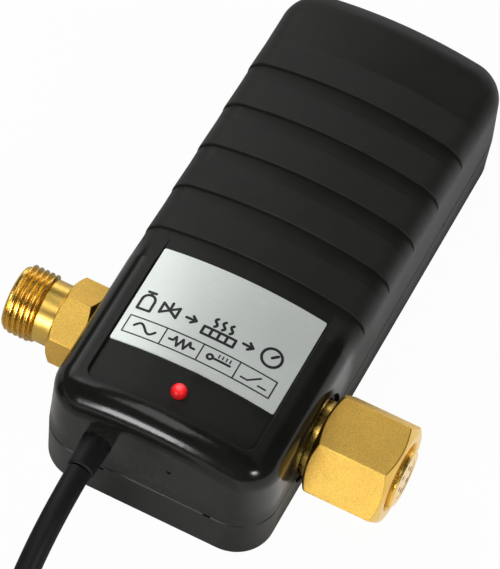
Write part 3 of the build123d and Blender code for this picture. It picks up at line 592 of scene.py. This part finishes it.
def lens_material():
    """Red epoxy, lit from inside: brightest at its middle."""
    made, tree, shader = new_material("lit lens", 0.42, Specular_IOR_Level=0.25)
    place = object_point(tree, ((LENS_LOW + LENS_HIGH) / 2).to_tuple())
    parts = add(tree, "ShaderNodeSeparateXYZ", {"Vector": place}).outputs
    out = maths(tree, "ADD", maths(tree, "POWER", parts["X"], 2.0), maths(tree, "POWER", parts["Y"], 2.0))
    core = ramp(tree, maths(tree, "SQRT", out), 2.6 * MM, 0.2 * MM)
    glow = add(tree, "ShaderNodeValToRGB", {"Fac": core})
    glow.color_ramp.elements[0].color = (0.10, 0.0, 0.001, 1)
    glow.color_ramp.elements[1].color = (1.0, 0.13, 0.14, 1)
    middle = glow.color_ramp.elements.new(0.55)
    middle.color = (0.9, 0.008, 0.012, 1)
    tree.links.new(glow.outputs["Color"], shader.inputs["Emission Color"])
    tree.links.new(tinted(tree, (0.5, 0.01, 0.012), core, 0.8, 1.2), shader.inputs["Base Color"])
    shader.inputs["Emission Strength"].default_value = 1.0
    return made


def rubber(name, colour, roughness):
    """A matt flexible sheath."""
    return grained_material(name, colour, roughness, size=0.2 * MM, strength=0.25, Specular_IOR_Level=0.22)


def paint(node, material):
    """Gives a carried-over node its finish."""
    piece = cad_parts[node]
    piece.data.materials.clear()
    piece.data.materials.append(material)


# Operators, one for each piece or group of like pieces


class HEATER_OT_shells(bpy.types.Operator):
    """Finish the two moulded shells"""

    bl_idname = "heater.shells"
    bl_label = "Shells"

    def execute(self, context):
        plastic = housing_plastic(context.scene.heater_housing)
        for node in ("upper_shell", "lower_shell"):
            paint(node, plastic)
        return {"FINISHED"}


class HEATER_OT_union_nut(bpy.types.Operator):
    """Build the union nut with its broken edges and its female thread"""

    bl_idname = "heater.union_nut"
    bl_label = "Union nut"

    turn_deg: degrees(5.5)

    def execute(self, context):
        settings = context.scene.heater_brass
        x0, x1 = NUT_LOW.x, NUT_HIGH.x
        flat_r, crest_r, eye_r, lip = 15.0 * MM, 9.74 * MM, 7.9 * MM, 5.0 * MM
        root_r = crest_r + 1.0 * MM
        corner = 2 * flat_r / math.sqrt(3) + 0.2 * MM
        blank = [
            (x0, eye_r + 0.4 * MM), (x0, flat_r - 0.6 * MM), (x0 + 2.0 * MM, corner), (x1 - 2.0 * MM, corner),
            (x1, flat_r - 1.0 * MM), (x1, root_r + 0.4 * MM), (x1 - 1.2 * MM, root_r - 0.1 * MM),
            (x0 + lip, root_r - 0.1 * MM), (x0 + lip, eye_r), (x0 + 0.4 * MM, eye_r)]
        centre = (0, GAS_AXIS.y, GAS_AXIS.z)
        lathe = bmesh.new()
        turned(lathe, blank, centre, (1, 0, 0), closed=True)
        bm = combined(hexagon(2 * flat_r, x0 - 1 * MM, x1 + 1 * MM, self.turn_deg), lathe, "INTERSECT")
        settle(bm)
        nut = finish_mesh(bm, "union_nut_body", blasted_brass(settings), NUT, 24.0)
        bright = bright_brass(settings)
        nut.data.materials.append(bright)
        for face in nut.data.polygons:
            if abs(face.normal.x) > 0.2 or face.area < 0.9 * MM * MM:
                face.material_index = 1
        bevelled(nut, settings.edge_break)
        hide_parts("union_nut")

        pitch = settings.nut_pitch
        turns = (x1 - x0 - lip - 1.6 * MM) / pitch - 1
        ridge = bmesh.new()
        section = [(-0.44 * pitch, root_r), (-0.08 * pitch, crest_r),
                   (0.08 * pitch, crest_r), (0.44 * pitch, root_r)]
        start = (x0 + lip + 0.6 * pitch, GAS_AXIS.y, GAS_AXIS.z)
        helix_ridge(ridge, section, start, (1, 0, 0), pitch, turns, settings.thread_steps)
        settle(ridge)
        finish_mesh(ridge, "union_nut_thread", bright, NUT, 30.0)
        return {"FINISHED"}


class HEATER_OT_outlet_fitting(bpy.types.Operator):
    """Build the outlet fitting: shank, hexagon, neck and male thread"""

    bl_idname = "heater.outlet_fitting"
    bl_label = "Outlet fitting"

    turn_deg: degrees(33.0)

    def execute(self, context):
        settings = context.scene.heater_brass
        axis_at = (0, GAS_AXIS.y, GAS_AXIS.z)
        end, root_x = OUTLET_LOW.x, OUTLET_HIGH.x
        thread_x = end + 10.3 * MM
        hex_far, hex_near = end + 15.8 * MM, end + 25.8 * MM
        neck_r, root_r, crest_r, stem_r, bore_r = 9.9 * MM, 9.75 * MM, 10.9 * MM, 10.4 * MM, 2.4 * MM
        shank_x, shank_r = -30.0 * MM, 7.9 * MM
        line = [
            (root_x, bore_r), (root_x, shank_r), (shank_x, shank_r), (shank_x, stem_r),
            (hex_near - 1 * MM, stem_r), (hex_near - 1 * MM, neck_r), (thread_x, neck_r),
            (thread_x - 0.3 * MM, root_r), (end + 0.5 * MM, root_r), (end, root_r - 0.5 * MM),
            (end, 6.0 * MM), (end + 3.0 * MM, bore_r)]
        body = bmesh.new()
        turned(body, rounded(line, 0.15 * MM) + [(root_x, bore_r)], axis_at, (1, 0, 0))
        bright = bright_brass(settings)
        fitting = finish_mesh(body, "outlet_body", bright, HOUSING)
        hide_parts("outlet_fitting")

        pitch = settings.outlet_pitch
        turns = (thread_x - end) / pitch + 0.2
        section = [(-0.47 * pitch, root_r - 0.1 * MM), (-0.09 * pitch, crest_r), (0.09 * pitch, crest_r),
                   (0.47 * pitch, root_r - 0.1 * MM)]
        ridge = bmesh.new()
        start = (end + 0.1 * pitch, GAS_AXIS.y, GAS_AXIS.z)
        helix_ridge(ridge, section, start, (1, 0, 0), pitch, turns, settings.thread_steps)
        first, last = end - start[0], thread_x - start[0]
        chamfer_slope, run_out_slope = 0.9, 1.4

        def limit(x):
            """The ridge under the end's chamfer and the run-out beside the neck."""
            lead_in = root_r - 0.3 * MM + chamfer_slope * (x - first)
            run_out = root_r - 0.2 * MM + run_out_slope * (last + 0.3 * MM - x)
            return max(root_r - 0.4 * MM, min(crest_r, lead_in, run_out))

        for vert in ridge.verts:
            vert.co.x = min(max(vert.co.x, end + 0.05 * MM), thread_x + 0.1 * MM)
        hold_under(ridge, start, (1, 0, 0), limit)
        settle(ridge)
        crests = brass_material("thread brass", settings, 0.30, 0.5, 0.3, 0.95)
        finish_mesh(ridge, "outlet_thread", crests, HOUSING, 30.0)

        flat_r = 12.0 * MM
        corner = 2 * flat_r / math.sqrt(3) + 0.1 * MM
        blank = [
            (hex_far, stem_r - 1 * MM), (hex_far, flat_r - 0.3 * MM), (hex_far + 1.3 * MM, corner),
            (hex_near - 1.3 * MM, corner), (hex_near, flat_r - 0.3 * MM), (hex_near, stem_r - 1 * MM)]
        lathe = bmesh.new()
        turned(lathe, blank, axis_at, (1, 0, 0), closed=True)
        bar = hexagon(2 * flat_r, hex_far - 1 * MM, hex_near + 1 * MM, self.turn_deg)
        grip = combined(bar, lathe, "INTERSECT")
        settle(grip)
        grip = finish_mesh(grip, "outlet_hexagon", bright, HOUSING, 24.0)
        grip.data.materials.append(blasted_brass(settings))
        for face in grip.data.polygons:
            if abs(face.normal.x) < 0.2 and face.area > 2 * MM * MM:
                face.material_index = 1
        bevelled(grip, settings.edge_break)
        return {"FINISHED"}


class HEATER_OT_inlet(bpy.types.Operator):
    """Finish the nipple, its strainer and the thrust ring"""

    bl_idname = "heater.inlet"
    bl_label = "Inlet nipple and strainer"

    def execute(self, context):
        settings = context.scene.heater_brass
        bright = bright_brass(settings)
        paint("inlet_nipple", bright)
        paint("strainer_disc", brass_material("strainer brass", settings, 0.3, 0.3, 0.3, 1.05))
        paint("thrust_ring", grained_material("slip ring plastic", (0.78, 0.78, 0.74), 0.4))
        return {"FINISHED"}


class HEATER_OT_rating_plate(bpy.types.Operator):
    """Finish the rating plate and print its symbols: a gas line, and four cells below it"""

    bl_idname = "heater.rating_plate"
    bl_label = "Rating plate"

    def execute(self, context):
        settings = context.scene.heater_plate
        paint("rating_plate", plate_material(settings))
        ink = grained_material("plate ink", tuple(settings.ink), 0.45, size=0.4 * MM, strength=0.1)
        bm = bmesh.new()
        bold = settings.stroke / MM
        for line in headline_strokes():
            draw_stroke(bm, line, bold)
        for line, width in cell_strokes():
            draw_stroke(bm, line, width)
        settle(bm)
        finish_mesh(bm, "plate_symbols", ink, HOUSING, 40.0)
        return {"FINISHED"}


def crown_z(x):
    """Height of the plate's top face over x, in metres. The plate is an arc along X."""
    half = (PLATE_HIGH.x - PLATE_LOW.x) / 2
    return PLATE_HIGH.z - (PLATE_CROWN_R - math.sqrt(PLATE_CROWN_R ** 2 - min(abs(x), half) ** 2))


def draw_stroke(bm, points, width):
    """Lays a line of ink through (x, y) points in millimetres: short slabs with a round at each point."""
    thick = 0.05 * MM
    longest = 2.0
    for x, y in points:
        disc = bmesh.ops.create_cone(
            bm, cap_ends=True, segments=14, radius1=width * MM / 2, radius2=width * MM / 2, depth=thick)
        place = Matrix.Translation(Vector((x * MM, y * MM, crown_z(x * MM) + thick * 0.3)))
        bmesh.ops.transform(bm, matrix=place, verts=disc["verts"])
    for (xa, ya), (xb, yb) in zip(points, points[1:]):
        span = math.hypot(xb - xa, yb - ya)
        count = max(1, math.ceil(span / longest))
        for n in range(count):
            ta, tb = n / count, (n + 1) / count
            slab = bmesh.ops.create_cube(bm, size=1.0)
            turn = Matrix.Rotation(math.atan2(yb - ya, xb - xa), 4, "Z")
            size = Matrix.Diagonal(Vector((span / count * MM, width * MM, thick, 1)))
            middle = (ta + tb) / 2
            at = Vector(((xa + (xb - xa) * middle) * MM, (ya + (yb - ya) * middle) * MM, 0))
            bmesh.ops.transform(bm, matrix=Matrix.Translation(at) @ turn @ size, verts=slab["verts"])
            for vert in slab["verts"]:
                vert.co.z += crown_z(vert.co.x) + thick * 0.3


def arc(cx, cy, radius, start_deg, end_deg, count=10):
    """Points along an arc, in millimetres."""
    angles = [math.radians(start_deg + (end_deg - start_deg) * n / count) for n in range(count + 1)]
    return [(cx + radius * math.cos(a), cy + radius * math.sin(a)) for a in angles]


def wave(x, y, length, height, turns, upright=False, count=16):
    """Points along a sine wave that starts at x, y."""
    line = []
    for n in range(count + 1):
        t = n / count
        swing = height * math.sin(2 * math.pi * turns * t)
        line.append((x + swing, y + t * length) if upright else (x + t * length, y + swing))
    return line


def headline_strokes():
    """The gas line as pictures: cylinder, valve, heater with rising heat, gauge and arrow."""
    base, top = -48.6, -42.4
    mid = (base + top) / 2
    shoulder = arc(-22.2, mid + 0.4, 2.0, 0, 180, 8)
    lines = [
        [(-24.2, base), (-20.2, base), (-20.2, mid + 0.4)] + shoulder + [(-24.2, base)],
        [(-22.2, mid + 2.4), (-22.2, top + 0.3)],
        [(-23.4, top + 0.3), (-21.0, top + 0.3)],
        [(-17.6, mid + 1.6), (-17.6, mid - 2.0), (-12.4, mid + 1.6), (-12.4, mid - 2.0), (-17.6, mid + 1.6)],
        [(-15.0, mid - 0.2), (-15.0, mid + 2.4)],
        [(-9.6, mid - 0.2), (-6.6, mid - 0.2)],
        [(-7.8, mid + 1.0), (-6.4, mid - 0.2), (-7.8, mid - 1.4)],
        [(-3.6, base), (6.6, base), (6.6, base + 2.6), (-3.6, base + 2.6), (-3.6, base)],
    ]
    for x in (-1.0, 1.5, 4.0):
        lines.append([(x, base), (x, base + 2.6)])
        lines.append(wave(x, base + 3.7, 2.9, 0.55, 1.0, upright=True, count=8))
    lines += [
        [(8.8, mid - 0.2), (11.8, mid - 0.2)],
        [(10.6, mid + 1.0), (12.0, mid - 0.2), (10.6, mid - 1.4)],
        arc(18.0, mid + 0.1, 3.1, 0, 360, 24),
        [(18.0, mid + 0.1), (19.5, mid + 1.6)],
    ]
    return lines


def cell_strokes():
    """The frame of four cells and the sign in each: mains wave, element, temperature and contact."""
    left, right, low, high = -24.5, 22.9, -57.7, -51.6
    pitch = (right - left) / 4
    thin, bold = 0.42, 0.75
    mid = (low + high) / 2
    lines = [([(left, low), (right, low), (right, high), (left, high), (left, low)], thin)]
    for n in (1, 2, 3):
        lines.append(([(left + n * pitch, low), (left + n * pitch, high)], thin))
    centres = [left + (n + 0.5) * pitch for n in range(4)]
    lines.append((wave(centres[0] - 3.4, mid, 6.8, 1.35, 1.0), bold))
    teeth = [(centres[1] - 4.0, mid), (centres[1] - 2.8, mid)]
    for n in range(5):
        teeth.append((centres[1] - 2.2 + n * 1.1, mid + (1.5 if n % 2 == 0 else -1.5)))
    lines.append((teeth + [(centres[1] + 2.8, mid), (centres[1] + 4.0, mid)], bold))
    bulb = centres[2] - 2.7
    lines.append((arc(bulb, mid, 0.85, 0, 360, 12), bold))
    lines.append(([(bulb + 1.2, mid), (bulb + 6.4, mid)], bold))
    for n in range(4):
        lines.append(([(bulb + 2.4 + n * 1.2, mid + 0.9), (bulb + 2.4 + n * 1.2, mid + 1.9)], thin))
    contact = centres[3]
    lines.append(([(contact - 4.0, mid - 1.2), (contact - 1.8, mid - 1.2), (contact + 1.4, mid + 1.4)], 0.55))
    lines.append(([(contact + 1.6, mid - 1.2), (contact + 4.0, mid - 1.2)], 0.55))
    return lines


class HEATER_OT_pilot_lamp(bpy.types.Operator):
    """Finish the lit pilot lens with its board and resistor"""

    bl_idname = "heater.pilot_lamp"
    bl_label = "Pilot lamp"

    def execute(self, context):
        paint("pilot_lens", lens_material())
        paint("lamp_board", grained_material("solder mask", (0.03, 0.15, 0.06), 0.4))
        paint("series_resistor", grained_material("resistor lacquer", (0.40, 0.30, 0.17), 0.35))
        return {"FINISHED"}


class HEATER_OT_gland(bpy.types.Operator):
    """Build the moulded gland that the lead leaves through"""

    bl_idname = "heater.gland"
    bl_label = "Cord gland"

    def execute(self, context):
        back_y = GLAND_HIGH.y
        wall, last = back_y - SHELL_LOW.y, back_y - GLAND_LOW.y
        bore_r = context.scene.heater_lead.diameter / 2 - 0.2 * MM
        flange_r, sleeve_r, flange_w = 6.0 * MM, 4.58 * MM, 2.5 * MM
        line = [
            (0, flange_r), (flange_w, flange_r), (flange_w, sleeve_r), (wall, sleeve_r),
            (last - 0.6 * MM, 4.3 * MM), (last, 3.95 * MM), (last, bore_r), (0, bore_r), (0, flange_r)]
        bm = bmesh.new()
        turned(bm, rounded(line, 0.18 * MM), (GLAND_AXIS.x, back_y, GLAND_AXIS.z), (0, -1, 0), steps=64)
        black = rubber("gland rubber", (0.007, 0.007, 0.007), 0.5)
        gland = finish_mesh(bm, "gland_body", black, HOUSING)
        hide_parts("cord_grommet")
        return {"FINISHED"}


class HEATER_OT_mains_lead(bpy.types.Operator):
    """Lay the mains lead: from the gland to the coil, round it, and up to the plug"""

    bl_idname = "heater.mains_lead"
    bl_label = "Mains lead"

    def execute(self, context):
        settings = context.scene.heater_lead
        points = list(LEAD_POINTS) + coil_points(settings) + list(TAIL_POINTS)
        curve = bpy.data.curves.new("mains_lead", "CURVE")
        curve.dimensions = "3D"
        spline = curve.splines.new("NURBS")
        spline.points.add(len(points) - 1)
        for point, spot in zip(spline.points, points):
            point.co = (*spot, 1.0)
        spline.order_u = 3
        spline.use_endpoint_u = True
        spline.resolution_u = 6
        curve.bevel_depth = settings.diameter / 2
        curve.bevel_resolution = 7
        curve.use_fill_caps = True
        lead = bpy.data.objects.new("mains_lead", curve)
        context.scene.collection.objects.link(lead)
        curve.materials.append(rubber("lead rubber", (0.006, 0.006, 0.006), 0.5))
        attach(lead, HOUSING)
        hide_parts("supply_cord", "cord_coil", "plug_cord")
        plug_nodes = ("plug_body", "plug_pin_1", "plug_pin_2", "earth_strip_1", "earth_strip_2")
        with_pieces = [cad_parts[node] for node in plug_nodes]
        with_pieces.append(bpy.data.objects["plug_grip_rings"])
        return {"FINISHED"}


def coil_points(settings):
    """Control points of the turns: out to in on the floor, then in to out on top of them."""
    pitch = settings.diameter
    outer, middle, inner = (settings.coil_radius + pitch * n for n in (1, 0, -1))
    low, high = pitch / 2, pitch * 1.5
    change_deg = 34.0
    # where each change of place starts, and the radius and height that it leads to
    changes = [
        (326, middle, low), (652, inner, low), (978, inner, high), (1304, middle, high), (1630, outer, high)]
    step = 360.0 / settings.turn_points
    reach = 0.75 + 0.25 * math.cos(math.radians(step))  # how far inside its control points the spline runs
    exit_deg = 1980.0
    points = []
    for n in range(round(exit_deg / step)):
        angle = step / 2 + n * step
        radius, height = outer, low
        for start, new_radius, new_height in changes:
            share = min(max((angle - start) / change_deg, 0.0), 1.0)
            share = share * share * (3 - 2 * share)
            radius += (new_radius - radius) * share
            height += (new_height - height) * share
        turn = math.radians(angle)
        offset = Vector((math.cos(turn), -math.sin(turn), 0)) * (radius / reach)
        points.append(tuple(COIL_CENTRE + offset + Vector((0, 0, height))))
    return points


class HEATER_OT_plug(bpy.types.Operator):
    """Finish the plug, its pins and earth strips, and build its grip rings"""

    bl_idname = "heater.plug"
    bl_label = "Plug"

    def execute(self, context):
        plastic = grained_material("plug plastic", (0.017, 0.017, 0.018), 0.42, size=0.3 * MM, strength=0.3)
        paint("plug_body", plastic)
        nickel = grained_material("nickel plate", (0.66, 0.63, 0.57), 0.22, 1.0, 0.2 * MM, 0.08)
        for node in ("plug_pin_1", "plug_pin_2", "earth_strip_1", "earth_strip_2"):
            paint(node, nickel)
        axis_at = ((PLUG_LOW.x + PLUG_HIGH.x) / 2, PLUG_LOW.y, (PLUG_LOW.z + PLUG_HIGH.z) / 2)
        rings = bmesh.new()
        grip_r, proud, ring_w, pitch, first = 15.5 * MM, 0.7 * MM, 1.4 * MM, 2.3 * MM, 35.0 * MM
        slant = 0.3 * MM
        for n in range(4):
            at = first + n * pitch
            ring = [
                (at, grip_r - proud), (at, grip_r), (at + slant, grip_r + proud),
                (at + ring_w - slant, grip_r + proud), (at + ring_w, grip_r), (at + ring_w, grip_r - proud)]
            turned(rings, ring, axis_at, (0, 1, 0), steps=64, closed=True)
        settle(rings)
        finish_mesh(rings, "plug_grip_rings", plastic)
        return {"FINISHED"}


class HEATER_OT_inner_parts(bpy.types.Operator):
    """Finish the parts inside the housing and the screws in its base"""

    bl_idname = "heater.inner_parts"
    bl_label = "Inner parts"

    def execute(self, context):
        steel = grained_material("zinc plated steel", (0.56, 0.57, 0.58), 0.3, 1.0, 0.15 * MM, 0.1)
        sheet = grained_material("bright sheet steel", (0.62, 0.62, 0.61), 0.34, 1.0, 0.2 * MM, 0.1)
        alloy = grained_material("milled aluminium", (0.68, 0.69, 0.70), 0.38, 1.0, 0.25 * MM, 0.15)
        white = grained_material("terminal plastic", (0.72, 0.70, 0.62), 0.42)
        finishes = {
            "screw": steel, "earth_lug": sheet, "fuse_clip": sheet, "thermostat": sheet,
            "cartridge_heater": sheet, "thermal_fuse": sheet, "heater_block": alloy,
            "channel_plug": bpy.data.materials["bright brass"], "terminal_block": white, "clamp_bar": white,
            "insulation_pad": grained_material("mica", (0.50, 0.42, 0.28), 0.5, size=1.2 * MM),
            "inlet_seal": grained_material("fibre", (0.34, 0.08, 0.05), 0.7),
            "outlet_seal": grained_material("fibre", (0.34, 0.08, 0.05), 0.7),
            "inner_sheath": rubber("lead rubber", (0.006, 0.006, 0.006), 0.5),
            "wire_live": grained_material("brown insulation", (0.16, 0.06, 0.025), 0.35),
            "wire_neutral": grained_material("blue insulation", (0.03, 0.11, 0.42), 0.35),
            "wire_earth": earth_insulation(),
            "wire_switched": grained_material("black insulation", (0.02, 0.02, 0.02), 0.35),
            "wire_lamp": grained_material("black insulation", (0.02, 0.02, 0.02), 0.35),
        }
        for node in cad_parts:
            key = "screw" if "screw" in node else node.rstrip("_123")
            if key in finishes:
                paint(node, finishes[key])
        return {"FINISHED"}


def earth_insulation():
    """Green insulation with a yellow stripe along it."""
    made, tree, shader = new_material("green and yellow insulation", 0.35)
    place = object_point(tree)
    band = add(tree, "ShaderNodeTexWave", {"Vector": place}, {"Scale": 90.0, "Distortion": 0.0})
    stripe = ramp(tree, band.outputs["Fac"], 0.45, 0.55)
    colour = mixed(tree, stripe, (0.06, 0.30, 0.05, 1), (0.75, 0.62, 0.04, 1))
    tree.links.new(colour, shader.inputs["Base Color"])
    return made


class HEATER_OT_stage(bpy.types.Operator):
    """Lay the floor and set the lights and the camera"""

    bl_idname = "heater.stage"
    bl_label = "Stage"

    def execute(self, context):
        settings = context.scene.heater_stage
        bm = bmesh.new()
        bmesh.ops.create_grid(bm, x_segments=8, y_segments=8, size=4.0)
        mesh = bpy.data.meshes.new("floor")
        bm.to_mesh(mesh)
        bm.free()
        floor = bpy.data.objects.new("floor", mesh)
        context.scene.collection.objects.link(floor)
        mesh.materials.append(new_floor_material(settings))
        floor.location.z = CAD_BOX[0][2] - 0.02 * MM
        world = bpy.data.worlds.new("studio")
        world.use_nodes = True
        back = world.node_tree.nodes["Background"]
        back.inputs["Color"].default_value = (0.95, 0.97, 1.0, 1)
        back.inputs["Strength"].default_value = settings.sky
        context.scene.world = world
        middle = Vector((0, 0, 0.02))
        soft_light("key softbox", middle, (-0.22, -0.87, 0.30), 1.3, (0.40, 0.34), settings.key)
        soft_light("side softbox", middle, (-0.80, 0.30, 0.75), 1.5, (0.9, 1.1), settings.side)
        soft_light("rear card", middle, (-0.10, 1.00, 0.32), 1.6, (1.8, 0.6), settings.rear)
        soft_light("top lamp", middle, (-0.18, -0.29, 0.91), 1.3, (0.5, 0.5), settings.top)
        soft_light("corner lamp", middle, (0.80, -0.50, 0.52), 1.6, (0.32, 0.28), settings.corner)
        set_camera(context.scene)
        context.scene.view_settings.view_transform = "Standard"
        return {"FINISHED"}


def new_floor_material(settings):
    """A light table: it looks white, its shadows are faint and its right side lights the part."""
    made, tree, shader = new_material("pale floor", 0.6, Specular_IOR_Level=0.2)
    place = object_point(tree)
    slow = add(tree, "ShaderNodeTexNoise", {"Vector": place}, {"Scale": 2.0})
    colour = tinted(tree, settings.floor_colour, slow.outputs["Fac"], 0.99, 1.01)
    tree.links.new(colour, shader.inputs["Base Color"])
    seen = add(tree, "ShaderNodeLightPath").outputs["Is Camera Ray"]
    white = add(tree, "ShaderNodeEmission", values={"Color": (1, 1, 1, 1), "Strength": 1.0})
    mix = add(tree, "ShaderNodeMixShader", {"Fac": maths(tree, "MULTIPLY", seen, settings.glow)})
    parts = add(tree, "ShaderNodeSeparateXYZ", {"Vector": place}).outputs
    beside = ramp(tree, parts["X"], 30 * MM, 60 * MM)
    back_lit = maths(tree, "MULTIPLY", beside, maths(tree, "SUBTRACT", 1.0, seen))
    lit = add(tree, "ShaderNodeMixShader", {"Fac": back_lit})
    tree.links.new(shader.outputs["BSDF"], lit.inputs[1])
    tree.links.new(white.outputs["Emission"], lit.inputs[2])
    tree.links.new(lit.outputs["Shader"], mix.inputs[1])
    tree.links.new(white.outputs["Emission"], mix.inputs[2])
    tree.links.new(mix.outputs["Shader"], tree.nodes["Material Output"].inputs["Surface"])
    return made


def soft_light(name, target, direction, distance, size, power):
    """A rectangular soft light that faces the target from a direction."""
    light = bpy.data.lights.new(name, "AREA")
    light.shape = "RECTANGLE"
    light.size, light.size_y = size
    light.energy = power
    lamp = bpy.data.objects.new(name, light)
    bpy.context.scene.collection.objects.link(lamp)
    away = Vector(direction).normalized()
    lamp.location = target + away * distance
    lamp.rotation_euler = away.to_track_quat("Z", "Y").to_euler()
    return lamp


def set_camera(scene):
    """The viewing angle: high over the corner between the lead and the union nut, rolled a little."""
    place = Vector((0.2314, -0.6922, 1.1122))
    aim = Vector((-0.00403, -0.01092, 0.0200))
    roll_deg = 8.93
    camera = bpy.data.cameras.new("view")
    camera.lens = 278.2
    camera.sensor_width = 36.0
    camera.clip_start = 0.05
    camera.clip_end = 20.0
    holder = bpy.data.objects.new("view", camera)
    scene.collection.objects.link(holder)
    upright = (aim - place).to_track_quat("-Z", "Y").to_matrix().to_4x4()
    roll = Matrix.Rotation(math.radians(roll_deg), 4, "Z")
    holder.matrix_world = Matrix.Translation(place) @ upright @ roll
    scene.camera = holder


STEPS = (
    HEATER_OT_stage,
    HEATER_OT_plug,
    HEATER_OT_mains_lead,
    HEATER_OT_gland,
    HEATER_OT_shells,
    HEATER_OT_union_nut,
    HEATER_OT_outlet_fitting,
    HEATER_OT_inlet,
    HEATER_OT_rating_plate,
    HEATER_OT_pilot_lamp,
    HEATER_OT_inner_parts,
)
GROUPS = {
    "heater_housing": HeaterHousing,
    "heater_brass": HeaterBrass,
    "heater_plate": HeaterPlate,
    "heater_lead": HeaterLead,
    "heater_stage": HeaterStage,
}


class HEATER_PT_panel(bpy.types.Panel):
    """The heater's pieces and settings in the sidebar"""

    bl_idname = "HEATER_PT_panel"
    bl_label = "Gas heater"
    bl_space_type = "VIEW_3D"
    bl_region_type = "UI"
    bl_category = "Gas heater"

    def draw(self, context):
        for label in GROUPS:
            box = self.layout.box()
            settings = getattr(context.scene, label)
            for field in settings.__annotations__:
                box.prop(settings, field)
        for step in STEPS:
            self.layout.operator(step.bl_idname)


def register():
    for made in (*GROUPS.values(), *STEPS, HEATER_PT_panel):
        bpy.utils.register_class(made)
    for label, group in GROUPS.items():
        setattr(bpy.types.Scene, label, PointerProperty(type=group))


def unregister():
    for label in GROUPS:
        delattr(bpy.types.Scene, label)
    for made in reversed((*GROUPS.values(), *STEPS, HEATER_PT_panel)):
        bpy.utils.unregister_class(made)


def main():
    register()
    for step in STEPS:
        family, name = step.bl_idname.split(".")
        getattr(getattr(bpy.ops, family), name)()
    bpy.context.view_layer.update()


if __name__ == "__main__":
    main()
